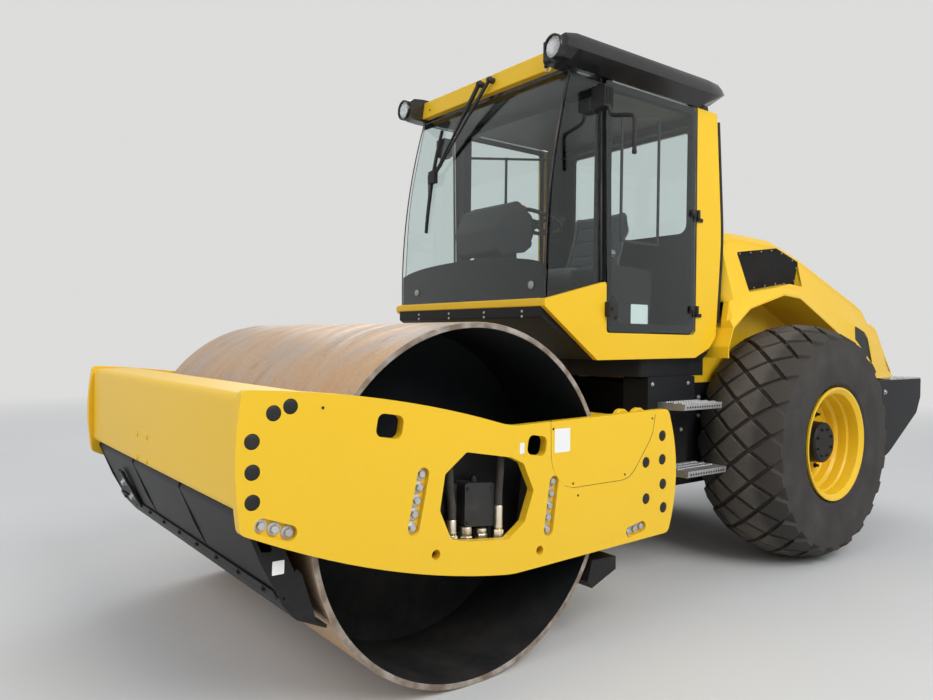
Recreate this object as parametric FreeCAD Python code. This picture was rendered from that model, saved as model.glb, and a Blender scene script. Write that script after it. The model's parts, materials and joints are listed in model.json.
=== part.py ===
import FreeCAD
import Part
import math
import os

# Single-drum articulated road roller, in millimetres. +X is forward, +Y is the
# machine's left, +Z is up, and the origin is on the ground below the middle.
V = FreeCAD.Vector

# Driving dimensions
wheelbase = 2960.0
front_overhang = 1040.0
rear_overhang = 1870.0
drum_radius = 750.0
drum_half_width = 1065.0
drum_shell = 25.0
bulkhead_y = 520.0
bulkhead_thickness = 30.0
tyre_radius = 776.0
tyre_width = 590.0
tyre_centre_y = 810.0
tread_half = 290.0
crown_radius = 500.0
lug_pitches = 24
lug_rows = 5
lug_step = 118.0
groove_width = 26.0
groove_depth = 24.0
rim_radius = 362.0
spindle_radius = 60.0
plate_thickness = 40.0
drum_clearance = 15.0
plate_outer_y = drum_half_width + drum_clearance + plate_thickness
pivot_back = 1480.0
running_gap = 0.3
joint_gap = 6.0

# Places that the driving dimensions give
total_length = wheelbase + front_overhang + rear_overhang
drum_x = total_length / 2 - front_overhang
axle_x = drum_x - wheelbase
pivot_x = drum_x - pivot_back
drum_z = drum_radius
axle_z = tyre_radius
pivot_z = drum_z
plate_inner_y = plate_outer_y - plate_thickness

# Front frame
crossbar_depth = 248.0
crossbar_wall = 20.0
crossbar_front = 1018.0
front_bar_low = 90.0
front_bar_high = 491.0
rear_bar_front = -855.0
rear_bar_back = -1130.0
rear_bar_low = -230.0
rear_bar_high = 290.0
hole_radius = 27.0
hole_depth = 22.0
lash_radius = 20.0
carrier_y = 930.0
carrier_thickness = 25.0
stub_radius = 110.0
stub_flange = 200.0
scraper_half_width = drum_half_width - 10.0
scraper_sheet = 12.0

# Articulation
yoke_half = 110.0
yoke_height = 280.0
pin_radius = 50.0
trunnion_radius = 90.0
housing_radius = 165.0
lug_thickness = 55.0
lug_radius = 125.0
spine_half = 125.0
barrel_radius = 45.0
rod_radius = 25.0
eye_radius = 42.0
eye_height = 60.0
cylinder_z = pivot_z + 60.0
rod_eye = (110.0, 215.0)
barrel_foot = (-560.0, 265.0)

# Cab
cab_half = 700.0
cab_front_half = cab_half - 32.0
cab_skin = 30.0
glass = 8.0
roof_low = 2845.0
roof_half = cab_half - 60.0
lamp_y = cab_half - 5.0
lamp_radius = 55.0
lamp_rise = 74.0
lamp_front = 2216.0

deck_half = cab_half - 60.0
deck_nose = 1640.0
box_half = deck_half + 15.0
tank_half = deck_half - 35.0
step_outer = box_half + 195.0
deck_low = 1219.3
deck_high = 1324.7
cab_back = 800.0
floor_high = 1370.0
post_width = 71.4

# Rear frame and hood
chassis_half = 470.0
chassis_plate = 30.0
chassis_low = 500.0
chassis_high = 1160.0
hood_half = 660.0
tail_top = 1160.0
hood_sheet = 12.0
rail_notch_in = 85.0
rail_notch_out = 12.0
well_half = 472.0
fender_outer = 800.0
fender_front = 790.0
fender_sheet = 10.0
engine_half = 300.0
weight_half = 860.0
weight_top = tail_top - 10.0
deck_back = fender_front + fender_sheet + joint_gap

PLACE = {"x": lambda u, v, w: V(w, u, v),
         "y": lambda u, v, w: V(u, w, v),
         "z": lambda u, v, w: V(u, v, w)}


def fillets(corners, closed=True):
    """Lines and arcs through corners (u, v, radius), as start, middle and end of each bend."""
    bends = []
    count = len(corners)
    for i, corner in enumerate(corners):
        p = V(corner[0], corner[1], 0)
        radius = corner[2] if len(corner) > 2 else 0
        if radius == 0 or (not closed and i in (0, count - 1)):
            bends.append((p,))
            continue
        back = V(*corners[i - 1][:2], 0) - p
        ahead = V(*corners[(i + 1) % count][:2], 0) - p
        back.normalize()
        ahead.normalize()
        half = back.getAngle(ahead) / 2
        middle = (back + ahead).normalize()
        reach = radius / math.tan(half)
        bends.append((p + back * reach, p + middle * (radius / math.sin(half) - radius), p + ahead * reach))
    return bends


def outline(corners, axis, at, closed=True):
    """Wire of an outline square to an axis, at its place along that axis."""
    place = PLACE[axis]
    bends = [[place(p.x, p.y, at) for p in bend] for bend in fillets(corners, closed)]
    edges = []
    last = bends[-1][-1] if closed else None
    for bend in bends:
        if last is not None and last.distanceToPoint(bend[0]) > 1e-6:
            edges.append(Part.LineSegment(last, bend[0]).toShape())
        if len(bend) == 3:
            edges.append(Part.Arc(*bend).toShape())
        last = bend[-1]
    return Part.Wire(edges)


def prism(corners, axis, low, high):
    """Outline of corners (u, v, radius) pushed along an axis from low to high."""
    face = Part.Face(outline(corners, axis, low))
    return face.extrude(PLACE[axis](0, 0, high - low))


def beside(path, distance):
    """Open path of corners (u, v, radius) moved to its left by a distance."""
    steps = [V(b[0] - a[0], b[1] - a[1], 0).normalize() for a, b in zip(path, path[1:])]
    normals = [V(-d.y, d.x, 0) for d in steps]
    far = []
    for i, (u, v, *r) in enumerate(path):
        before = normals[max(i - 1, 0)]
        after = normals[min(i, len(normals) - 1)]
        shift = (before + after) * (distance / (1 + before.dot(after)))
        left_turn = before.cross(after).z > 0
        radius = (r[0] if r else 0) + (-distance if left_turn else distance)
        ends = i in (0, len(path) - 1)
        far.append((u + shift.x, v + shift.y, 0 if ends else max(radius, 0)))
    return far


def sheet(path, thickness, axis, low, high):
    """Folded sheet along a path, with its thickness on the path's left."""
    return prism(list(path) + beside(path, thickness)[::-1], axis, low, high)


def skin(sections):
    """Solid with flat faces through sections, each a closed loop of as many (x, y, z)."""
    loops = [[V(*point) for point in section] for section in sections]
    faces = []
    for near, far in zip(loops, loops[1:]):
        for i in range(len(near)):
            corners = [near[i - 1], near[i], far[i], far[i - 1]]
            for three in ((0, 1, 2), (0, 2, 3)):
                a, b, c = (corners[k] for k in three)
                if (b - a).cross(c - a).Length > 1e-6:
                    faces.append(Part.Face(Part.makePolygon([a, b, c, a])))
    for end in (loops[0], loops[-1]):
        faces.append(Part.Face(Part.makePolygon(end + end[:1])))
    solid = Part.makeSolid(Part.makeShell(faces))
    solid.fix(1e-3, 1e-3, 1e-3)
    return solid.removeSplitter()


def level(path, x):
    """Height of a path of corners (x, z, radius) at a place along it."""
    for (xa, za, *_), (xb, zb, *_) in zip(path, path[1:]):
        if min(xa, xb) <= x <= max(xa, xb):
            return za + (zb - za) * (x - xa) / (xb - xa)
    raise ValueError("no height at %s" % x)


def box(x0, x1, y0, y1, z0, z1):
    return Part.makeBox(x1 - x0, y1 - y0, z1 - z0, V(x0, y0, z0))


def bar(start, end, radius):
    """Round bar between two points."""
    a = V(*start)
    b = V(*end)
    return Part.makeCylinder(radius, (b - a).Length, a, b - a)


def disc(radius, y0, y1, x, z):
    return bar((x, y0, z), (x, y1, z), radius)


def turned(profile, x, z):
    """Solid turned about an axis along Y through (x, z), from corners (y, r, radius)."""
    face = Part.Face(outline([(y, r) + tuple(c) for y, r, *c in profile], "x", 0))
    face.translate(V(x, 0, z))
    return face.revolve(V(x, 0, z), V(0, 1, 0), 360)


def tube(points, radius):
    """Round tube along points (x, y, z, bend), with lines joined by tangent arcs."""
    edges = []
    last = V(*points[0][:3])
    for i in range(1, len(points) - 1):
        p = V(*points[i][:3])
        back = V(*points[i - 1][:3]) - p
        ahead = V(*points[i + 1][:3]) - p
        back.normalize()
        ahead.normalize()
        half = back.getAngle(ahead) / 2
        bend = points[i][3]
        reach = bend / math.tan(half)
        middle = (back + ahead).normalize()
        start = p + back * reach
        end = p + ahead * reach
        edges.append(Part.LineSegment(last, start).toShape())
        edges.append(Part.Arc(start, p + middle * (bend / math.sin(half) - bend), end).toShape())
        last = end
    edges.append(Part.LineSegment(last, V(*points[-1][:3])).toShape())
    path = Part.Wire(edges)
    first = V(*points[0][:3])
    ring = Part.Wire(Part.makeCircle(radius, first, V(*points[1][:3]) - first))
    return path.makePipeShell([ring], True, True)


def flip(shape):
    """The same shape on the machine's other side."""
    return shape.mirror(V(0, 0, 0), V(0, 1, 0))


def both(shape):
    return Part.makeCompound([shape, flip(shape)])


def joined(first, *others):
    return first.fuse(list(others)).removeSplitter()


def at_drum(corners):
    return [(drum_x + x, drum_z + z) + tuple(r) for x, z, *r in corners]


def at_axle(corners):
    """Outline measured from the rear axle and the ground."""
    return [(axle_x + x, z) + tuple(r) for x, z, *r in corners]


# Side plate of the front frame: x and z from the drum's axle, corner radius
PLATE = [(1021, 505, 25), (427, 475, 4600), (-135, 317, 400), (-1176, 341, 40), (-1288, 17, 780),
         (-1185, -280, 40), (-150, -306, 600), (441, -229, 3700), (1023, 32, 30), (1056, 275, 1300)]
OCTAGON = [(205, 150, 20), (228, 10, 20), (172, -110, 20), (84, -132, 20), (-125, -155, 20),
           (-215, -95, 20), (-265, 35, 20), (-205, 155, 20), (-135, 187, 20), (100, 228, 20)]
# Rounded windows: x, z, width, height
WINDOWS = [(459, 353, 114, 88), (-282, 225, 109, 85)]
# Plugged bolt holes: x, z
PLUGS = [(913, 424), (853, 444), (987, 334), (985, 233), (984, 134), (-1130, 209), (-1132, 91),
         (-1007, 87), (-1139, -32), (-1011, -91), (-1145, -150)]
# Sunk rows of bolts: first x, z, last x, z
BOLT_ROWS = [(308, 159, 349, -41), (-386, 58, -355, -149), (950, 51, 852, 15), (-894, -237, -984, -223)]
# Lashing holes right through: x, z
LASHINGS = [(244, -159), (-305, -230)]
plate_slope = 9.0


def side_plate():
    """Left plate, which carries the crossbars and, on rubber blocks, the drum."""
    plate = prism(at_drum(PLATE), "y", plate_inner_y, plate_outer_y)
    sunk = plate_outer_y - hole_depth
    cuts = [prism(at_drum(OCTAGON), "y", plate_inner_y - 1, plate_outer_y + 1)]
    for x, z, wide, high in WINDOWS:
        corners = [(-wide / 2, -high / 2, 28), (wide / 2, -high / 2, 28), (wide / 2, high / 2, 28),
                   (-wide / 2, high / 2, 28)]
        cut = prism(corners, "y", plate_inner_y - 1, plate_outer_y + 1)
        cut.rotate(V(0, 0, 0), V(0, 1, 0), -plate_slope)
        cut.translate(V(drum_x + x, 0, drum_z + z))
        cuts.append(cut)
    for x, z in PLUGS:
        cuts.append(disc(hole_radius, sunk, plate_outer_y + 1, drum_x + x, drum_z + z))
    for x, z in LASHINGS:
        cuts.append(disc(lash_radius, plate_inner_y - 1, plate_outer_y + 1, drum_x + x, drum_z + z))
    for xa, za, xb, zb in BOLT_ROWS:
        length = math.hypot(xb - xa, zb - za)
        ux, uz = (xb - xa) / length * hole_radius, (zb - za) / length * hole_radius
        corners = [(xa - ux - uz, za - uz + ux, hole_radius * 0.98),
                   (xa - ux + uz, za - uz - ux, hole_radius * 0.98),
                   (xb + ux + uz, zb + uz - ux, hole_radius * 0.98),
                   (xb + ux - uz, zb + uz + ux, hole_radius * 0.98)]
        cuts.append(prism(at_drum(corners), "y", sunk, plate_outer_y + 1))
    return plate.cut(cuts)


def crossbar(back, front, low, high):
    """Box beam between the side plates."""
    outer = prism(at_drum([(back, low, 30), (front, low, 30), (front, high, 30), (back, high, 30)]),
                  "y", -plate_inner_y, plate_inner_y)
    w = crossbar_wall
    inner = prism(at_drum([(back + w, low + w, 12), (front - w, low + w, 12),
                           (front - w, high - w, 12), (back + w, high - w, 12)]),
                  "y", -plate_inner_y - 1, plate_inner_y + 1)
    return outer.cut(inner)


def rear_crossbar():
    """Rear beam with the bearing housing that lets the front frame roll."""
    beam = crossbar(rear_bar_back, rear_bar_front, rear_bar_low, rear_bar_high)
    start = pivot_x + yoke_half + 90
    face = drum_x + rear_bar_back
    housing = bar((start, 0, pivot_z), (face + crossbar_wall, 0, pivot_z), housing_radius)
    bore = bar((start - 1, 0, pivot_z), (face + crossbar_wall + 1, 0, pivot_z),
               trunnion_radius + running_gap)
    return joined(beam, housing).cut(bore)


# Sheet of the front scraper: x and z from the drum's axle, corner radius
SCRAPER = [(900, front_bar_low - running_gap), (1003, front_bar_low - running_gap, 25), (848, -250, 60),
           (795, -313, 30),
           (679, -366)]
SCRAPER_END = [(843, -236), (797, -131), (777, -150), (713, -345), (792, -306), (838, -258)]
REAR_SCRAPER = [(-705, -356), (-872, -363), (-874, -427), (-707, -491), (-677, -455)]
REAR_ARM = [(-1000, rear_bar_low - 0.3), (-865, rear_bar_low - 0.3), (-760, -370), (-850, -370)]
# Bracket outside each end of the front scraper, and its square cut-out
BRACKET = [(905, front_bar_low - running_gap), (1003, front_bar_low - running_gap, 20), (926, -96, 12),
           (846, -250, 20),
           (800, -150, 20)]
BRACKET_HOLE = [(905, 12, 8), (955, 20, 8), (935, -52, 8), (884, -60, 8)]
scraper_arms = (-900.0, 0.0, 900.0)
arm_width = 60.0
scraper_ribs = (360.0,)


def front_scraper():
    """Folded blade beam that hangs from the front crossbar, with an end plate each side."""
    beam = sheet(at_drum(SCRAPER)[::-1], scraper_sheet, "y", -scraper_half_width, scraper_half_width)
    end = prism(at_drum(SCRAPER_END), "y", scraper_half_width - scraper_sheet, scraper_half_width)
    bracket = prism(at_drum(BRACKET), "y", scraper_half_width - scraper_sheet, scraper_half_width)
    bracket = bracket.cut(prism(at_drum(BRACKET_HOLE), "y", 0, plate_outer_y))
    pieces = [end, bracket]
    for y in scraper_ribs:
        pieces.append(prism(at_drum(BRACKET), "y", y - scraper_sheet / 2, y + scraper_sheet / 2))
    return joined(beam, *pieces, *[flip(p) for p in pieces])


def rear_scraper():
    """Blade bar behind the drum, on arms that come down from the rear crossbar."""
    arms = [prism(at_drum(REAR_ARM), "y", y - arm_width / 2, y + arm_width / 2) for y in scraper_arms]
    return joined(prism(at_drum(REAR_SCRAPER), "y", -scraper_half_width, scraper_half_width), *arms)


def drum_carrier():
    """Left carrier plate, on the rubber blocks, with the stub that the drum turns on."""
    plate = prism(at_drum([(400, 190, 60), (430, -20, 60), (160, -200, 90), (-180, -210, 90),
                           (-440, -130, 60), (-430, 90, 60), (-150, 240, 90), (130, 260, 90)]),
                  "y", carrier_y, carrier_y + carrier_thickness)
    stub = disc(stub_radius, bulkhead_y - bulkhead_thickness - 40, carrier_y, drum_x, drum_z)
    flange = disc(stub_flange, carrier_y - 40, carrier_y, drum_x, drum_z)
    return joined(plate, stub, flange)


def rubber_blocks():
    """Two blocks each side, between the carrier plates and the side plates."""
    blocks = []
    for xa, za, xb, zb in BOLT_ROWS[:2]:
        corners = [(xa - 45, za + 30, 20), (xb - 45, zb - 30, 20), (xb + 45, zb - 30, 20),
                   (xa + 45, za + 30, 20)]
        block = prism(at_drum(corners), "y", carrier_y + carrier_thickness, plate_inner_y)
        blocks += [block, flip(block)]
    return Part.makeCompound(blocks)


# Motor in the octagon: x and z from the drum's axle, corner radius
MOTOR = [(-148, -115, 12), (45, -95, 12), (45, 85, 14), (-110, 72, 45), (-148, 20, 30)]
# Hose unions below the motor: x, top z, low z, radius
UNIONS = [(88, 35, -150, 19), (28, -98, -170, 22), (-52, -115, -170, 22), (-122, -40, -160, 17)]
motor_reach = 85.0


def drum_motors():
    """Motor on each carrier plate, seen through the side plates' openings, with its hose unions."""
    face = carrier_y + carrier_thickness
    block = prism(at_drum(MOTOR), "y", face, face + motor_reach)
    neck = disc(75, face, face + 30, drum_x + 60, drum_z)
    plug = bar((drum_x - 30, face + 45, drum_z + 70), (drum_x - 30, face + 45, drum_z + 100), 12)
    pieces = [neck, plug, box(drum_x - 140, drum_x + 110, face, face + 24, drum_z - 150, drum_z - 60)]
    for x, top, low, radius in UNIONS:
        y = face + motor_reach * 0.5
        pieces.append(bar((drum_x + x, y, drum_z + low), (drum_x + x, y, drum_z + top), radius * 0.8))
        pieces.append(bar((drum_x + x, y, drum_z + low), (drum_x + x, y, drum_z + low + 50), radius * 1.15))
        pieces.append(box(drum_x + x - 12, drum_x + x + 12, face, y, drum_z + low + 5, drum_z + low + 45))
    motor = joined(block, *pieces)
    return both(motor)


def drum():
    """Open steel shell with two sunk bulkheads and the hubs that turn on the stubs."""
    shell = turned([(-drum_half_width, drum_radius - drum_shell),
                    (drum_half_width, drum_radius - drum_shell),
                    (drum_half_width, drum_radius), (-drum_half_width, drum_radius)], drum_x, drum_z)
    low = bulkhead_y - bulkhead_thickness
    bore = stub_radius + running_gap
    web = turned([(low, bore), (bulkhead_y + 60, bore), (bulkhead_y + 60, stub_flange - 20),
                  (bulkhead_y, stub_flange + 20),
                  (bulkhead_y, drum_radius - drum_shell + 1), (low, drum_radius - drum_shell + 1)],
                 drum_x, drum_z)
    return joined(shell, web, flip(web))


def pivot_yoke():
    """Block that steers on the upright pin and holds the trunnion and the rods' lugs."""
    half = yoke_height / 2
    block = box(pivot_x - yoke_half, pivot_x + yoke_half, -yoke_half, yoke_half, pivot_z - half,
                pivot_z + half)
    block = block.makeFillet(20, [e for e in block.Edges if abs(e.tangentAt(e.FirstParameter).z) > 0.9])
    trunnion = bar((pivot_x + yoke_half - 1, 0, pivot_z),
                   (drum_x + rear_bar_back + crossbar_wall - 2, 0, pivot_z),
                   trunnion_radius)
    collar = bar((pivot_x + yoke_half - 1, 0, pivot_z), (pivot_x + yoke_half + 84, 0, pivot_z),
                 trunnion_radius + 35)
    ex, ey = rod_eye
    top = cylinder_z - eye_height / 2 - 0.5
    arm = prism([(pivot_x + 20, 0), (pivot_x + ex - 40, ey + 40, 35), (pivot_x + ex + 40, ey + 40, 35),
                 (pivot_x + ex + 40, ey - 60), (pivot_x + yoke_half, 0)], "z", top - 35, top)
    pin_hole = bar((pivot_x, 0, pivot_z - half - 1), (pivot_x, 0, pivot_z + half + 1),
                   pin_radius + running_gap)
    return joined(block, trunnion, collar, arm, flip(arm)).cut(pin_hole)


def barrel():
    """Left steering cylinder's barrel, from its foot to its gland."""
    fx, fy = pivot_x + barrel_foot[0], barrel_foot[1]
    dx, dy = rod_eye[0] - barrel_foot[0], rod_eye[1] - barrel_foot[1]
    length = math.hypot(dx, dy)
    ux, uy = dx / length, dy / length
    start = (fx, fy, cylinder_z)
    gland = length * 0.62
    neck = bar((fx, fy, cylinder_z), (fx + ux * 70, fy + uy * 70, cylinder_z), eye_height / 2 - 2)
    body = bar((fx + ux * 64, fy + uy * 64, cylinder_z), (fx + ux * gland, fy + uy * gland, cylinder_z),
               barrel_radius)
    foot = Part.makeCylinder(eye_radius, eye_height, V(fx, fy, cylinder_z - eye_height / 2))
    cap = bar((fx + ux * (gland - 25), fy + uy * (gland - 25), cylinder_z),
              (fx + ux * (gland + 12), fy + uy * (gland + 12), cylinder_z), barrel_radius + 8)
    bore = bar((fx + ux * 80, fy + uy * 80, cylinder_z),
               (fx + ux * (gland + 20), fy + uy * (gland + 20), cylinder_z),
               rod_radius + running_gap)
    hole = Part.makeCylinder(20 + running_gap, eye_height + 2, V(fx, fy, cylinder_z - eye_height / 2 - 1))
    return joined(body, neck, foot, cap).cut([bore, hole])


def rod():
    """Left steering cylinder's rod with its eye and pin."""
    fx, fy = pivot_x + barrel_foot[0], barrel_foot[1]
    dx, dy = rod_eye[0] - barrel_foot[0], rod_eye[1] - barrel_foot[1]
    length = math.hypot(dx, dy)
    ux, uy = dx / length, dy / length
    ex, ey = pivot_x + rod_eye[0], rod_eye[1]
    start = 250.0
    shaft = bar((fx + ux * start, fy + uy * start, cylinder_z), (ex - ux * 20, ey - uy * 20, cylinder_z),
                rod_radius)
    eye = Part.makeCylinder(eye_radius, eye_height, V(ex, ey, cylinder_z - eye_height / 2))
    pin = Part.makeCylinder(20, eye_height + 20, V(ex, ey, cylinder_z - eye_height / 2))
    return joined(shaft, eye, pin)


# Chassis side plate: x from the rear axle, z from the ground
CHASSIS_SIDE = [(1330, deck_low - running_gap, 40), (1330, 620, 60), (1180, chassis_low, 60),
                (-1080, chassis_low, 40),
                (-1300, 640, 60), (-1300, 1040, 40), (-1180, chassis_high, 40),
                (deck_back, chassis_high, 10),
                (deck_back, deck_low - running_gap, 10)]


def chassis():
    """Two side plates on cross plates, and the spine whose lugs hold the upright pin."""
    side = prism(at_axle(CHASSIS_SIDE), "y", chassis_half - chassis_plate, chassis_half)
    side = side.cut(disc(110, chassis_half - chassis_plate - 1, chassis_half + 1, axle_x, axle_z))
    reach = chassis_half - chassis_plate + 1
    fx, fy = pivot_x + barrel_foot[0], barrel_foot[1]
    plate_front = fx - 80
    plates = [box(plate_front - chassis_plate, plate_front, -reach, reach, chassis_low + 20,
                  chassis_high - 20),
              box(axle_x + 480, axle_x + 510, -reach, reach, chassis_low + 20, chassis_low + 220),
              box(axle_x - 1250, axle_x - 1220, -reach, reach, 660, 1030),
              box(axle_x - 900, plate_front - 10, -reach, reach, chassis_low + 20, chassis_low + 40)]
    half = yoke_height / 2 + joint_gap
    spine = box(plate_front - 10, pivot_x - yoke_half - 60, -spine_half, spine_half,
                pivot_z - half - lug_thickness,
                pivot_z + half + lug_thickness)
    lugs = []
    for low in (pivot_z + half, pivot_z - half - lug_thickness):
        tongue = box(pivot_x - yoke_half - 70, pivot_x, -lug_radius, lug_radius, low, low + lug_thickness)
        nose = Part.makeCylinder(lug_radius, lug_thickness, V(pivot_x, 0, low))
        lugs += [tongue, nose]
    feet = []
    for low in (cylinder_z + eye_height / 2 + 0.5, cylinder_z - eye_height / 2 - 25.5):
        lug = prism([(fx - 90, fy - 45), (fx + 50, fy - 45, 40), (fx + 50, fy + 45, 40),
                     (fx - 90, fy + 45)],
                    "z", low, low + 25)
        feet += [lug, flip(lug)]
    pin = Part.makeCylinder(20, eye_height + 60, V(fx, fy, cylinder_z - eye_height / 2 - 30))
    body = joined(side, flip(side), *plates, spine, *lugs, *feet, pin, flip(pin))
    pin_hole = Part.makeCylinder(pin_radius + 0.1, 700, V(pivot_x, 0, pivot_z - 350))
    return body.cut(pin_hole)


def pivot_pin():
    half = yoke_height / 2 + joint_gap + lug_thickness
    pin = Part.makeCylinder(pin_radius, 2 * half + 10, V(pivot_x, 0, pivot_z - half))
    head = Part.makeCylinder(pin_radius + 25, 18, V(pivot_x, 0, pivot_z + half))
    return joined(pin, head)


def rear_axle():
    """Axle beam through the chassis, with its round middle housing."""
    inner = tyre_centre_y - tyre_width / 2
    beam = disc(95, -inner + 30, inner - 30, axle_x, axle_z)
    middle = turned([(-190, 0), (190, 0), (190, 120), (110, 230), (-110, 230), (-190, 120)], axle_x, axle_z)
    end = disc(150, chassis_half + 0.5, inner - 30, axle_x, axle_z)
    spindle = disc(spindle_radius, inner - 40, tyre_centre_y, axle_x, axle_z)
    return joined(beam, middle, end, flip(end), spindle, flip(spindle))


def crown(y, depth=0.0):
    """Tyre's radius at a distance from its middle plane, over the lugs or down in the grooves."""
    return tyre_radius - depth - y * y / (2 * crown_radius)


def lug(row):
    """Diamond lug of a row at the wheel's top, its own top folded on the line round the wheel."""
    along = math.pi * tyre_radius / lug_pitches
    shrink = 1 - groove_width / 2 * math.hypot(along, lug_step) / (along * lug_step)
    a = along * shrink
    b = lug_step * shrink
    middle = row * lug_step
    tips = [V(-a, middle, 0), V(0, middle - b, 0), V(a, middle, 0), V(0, middle + b, 0)]
    tread = Part.makePlane(4 * a, 2 * tread_half, V(-2 * a, -tread_half, 0))
    block = Part.Face(Part.makePolygon(tips + tips[:1])).common(tread).extrude(V(0, 0, tyre_radius))
    ridge = crown(middle)
    slopes = []
    for side in (-1, 1):
        edge = middle + side * 2 * b
        z_edge = ridge + 2 * (crown(middle + side * b) - ridge)
        roof = [V(-2 * a, middle, ridge), V(2 * a, middle, ridge), V(2 * a, edge, z_edge),
                V(-2 * a, edge, z_edge)]
        slopes.append(Part.Face(Part.makePolygon(roof + roof[:1])).extrude(V(0, 0, -groove_depth - 14)))
    return slopes[0].fuse(slopes[1]).common(block).Solids[0]


def tyre():
    """Left drive tyre: a crowned casing with rows of diamond lugs."""
    half = tyre_width / 2
    bead = rim_radius - 22
    wall_radius = 560.0
    casing = [(-half + 60, bead), (-half + 12, bead + 60), (-half, wall_radius, 150)]
    steps_y = [-tread_half, -1.5 * lug_step, -0.5 * lug_step, 0.5 * lug_step, 1.5 * lug_step, tread_half]
    casing += [(y, crown(y, groove_depth)) for y in steps_y]
    casing += [(half, wall_radius, 150), (half - 12, bead + 60), (half - 60, bead)]
    casing += [(half - 90, bead + 20), (half - 60, 520), (half - 120, crown(tread_half) - 80),
               (120 - half, crown(tread_half) - 80), (60 - half, 520), (90 - half, bead + 20)]
    body = turned([(tyre_centre_y + y, *rest) for y, *rest in casing], axle_x, axle_z)
    lugs = []
    reach = lug_rows // 2
    for row in range(-reach, reach + 1):
        pattern = lug(row)
        for i in range(lug_pitches):
            copy = pattern.copy()
            copy.rotate(V(0, 0, 0), V(0, 1, 0), 360 / lug_pitches * (i + row % 2 / 2))
            copy.translate(V(axle_x, tyre_centre_y, axle_z))
            lugs.append(copy)
    return body.fuse(lugs)


def rim():
    """Left wheel's rim, stepped down from its flanges to the well, with a dished disc."""
    y = tyre_centre_y
    r = rim_radius
    outer = [(y - 283, r + 6), (y - 268, r + 6), (y - 262, r - 22.5), (y - 190, r - 24), (y - 160, r - 52),
             (y + 90, r - 52), (y + 130, r - 24), (y + 190, r - 24), (y + 262, r - 22.5), (y + 268, r + 6),
             (y + 283, r + 6)]
    inner = [(y + 283, r - 6), (y + 264, r - 34), (y + 200, r - 38), (y + 188, r - 48), (y + 134, r - 52),
             (y + 116, r - 68), (y + 70, r - 74), (y + 62, r - 84), (y + 62, 160), (y + 82, 139.5),
             (y + 40, 139.5), (y + 40, r - 78), (y - 160, r - 66), (y - 190, r - 40), (y - 262, r - 36),
             (y - 283, r - 6)]
    valve = bar((axle_x, y + 225, axle_z + r - 45), (axle_x, y + 225, axle_z + r - 18), 9)
    valve.rotate(V(axle_x, 0, axle_z), V(0, 1, 0), 106)
    return turned(outer + inner, axle_x, axle_z).cut(valve)


def hub():
    """Left hub drum, from the axle's end out through the disc."""
    inner = tyre_centre_y - tyre_width / 2
    bore = spindle_radius + running_gap
    return turned([(inner - 24, bore), (inner - 24, 150), (tyre_centre_y + 39.5, 150),
                   (tyre_centre_y + 39.5, 139.5),
                   (tyre_centre_y + 190, 132), (tyre_centre_y + 200, 120), (tyre_centre_y + 200, 0),
                   (tyre_centre_y + 5, 0), (tyre_centre_y + 5, bore)], axle_x, axle_z)


def tanks():
    """Fuel and oil tanks below the cab, one each side."""
    top = prism(at_axle([(923, 988), (1370, 988, 15), (1370, deck_low - running_gap, 15),
                         (923, deck_low - running_gap, 15)]), "y", chassis_half, box_half)
    low = prism(at_axle([(923, 988), (923, 620, 30), (1000, 560, 30), (1330, 560, 30), (1330, 988)]), "y",
                chassis_half, tank_half)
    return both(joined(top, low))


def steps():
    """Two treads each side, each on a back plate that bolts to the tank."""
    treads = []
    for x0, x1, z, back in [(920, 1280, 1070, box_half), (865, 1240, 680, tank_half)]:
        shelf = prism([(back + 0.3, z - 45), (step_outer - 5, z - 38, 8), (step_outer, z, 4),
                       (back + 0.3, z, 4)], "x", axle_x + x0, axle_x + x1)
        inner = prism([(back + 10, z - 60), (step_outer - 12, z - 60), (step_outer - 8, z - 8),
                       (back + 10, z - 8)], "x", axle_x + x0 + 8, axle_x + x1 - 8)
        tread = shelf.cut(inner)
        treads += [tread, flip(tread)]
    return Part.makeCompound(treads)


# Counterweight across the tail: x from the rear axle, z from the ground
WEIGHT = [(-1305, weight_top, 8), (-1850, weight_top, 8), (-1850, 1000, 20), (-1780, 875, 20),
          (-1305, 592, 10)]
WING = [(-860, weight_top, 8), (-1306, weight_top), (-1306, 592), (-1160, 540, 20), (-860, 900, 30)]


def counterweight():
    """Heavy tail block with a wing beside each wheel and a tow hook at the back."""
    block = prism(at_axle(WEIGHT), "y", -weight_half, weight_half)
    wing = prism(at_axle(WING), "y", weight_half - 40, weight_half)
    loop = tube([(axle_x - 1845, 0, 1125, 0), (axle_x - 1862, 0, 1115, 10), (axle_x - 1862, 0, 1035, 10),
                 (axle_x - 1845, 0, 1025, 0)], 8)
    return joined(block, wing, flip(wing), loop)


def rear_step():
    """Light tread plate on the tail."""
    front, back = axle_x - 1305, axle_x - 1850
    return prism([(front, -weight_half, 10), (back, -weight_half, 10), (back, weight_half, 10),
                  (front, weight_half, 10)], "z", weight_top + running_gap, tail_top)


def engine_block():
    """Plain block for the engine, with the two bars that it stands on."""
    block = prism(at_axle([(-900, 640), (-270, 640), (-270, 1030), (250, 1030), (250, 1750),
                           (-900, 1750)]), "y", -engine_half, engine_half)
    reach = chassis_half - chassis_plate - 0.3
    return joined(block, box(axle_x - 800, axle_x - 740, -reach, reach, 860, 940),
                  box(axle_x - 440, axle_x - 380, -reach, reach, 860, 940))


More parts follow.
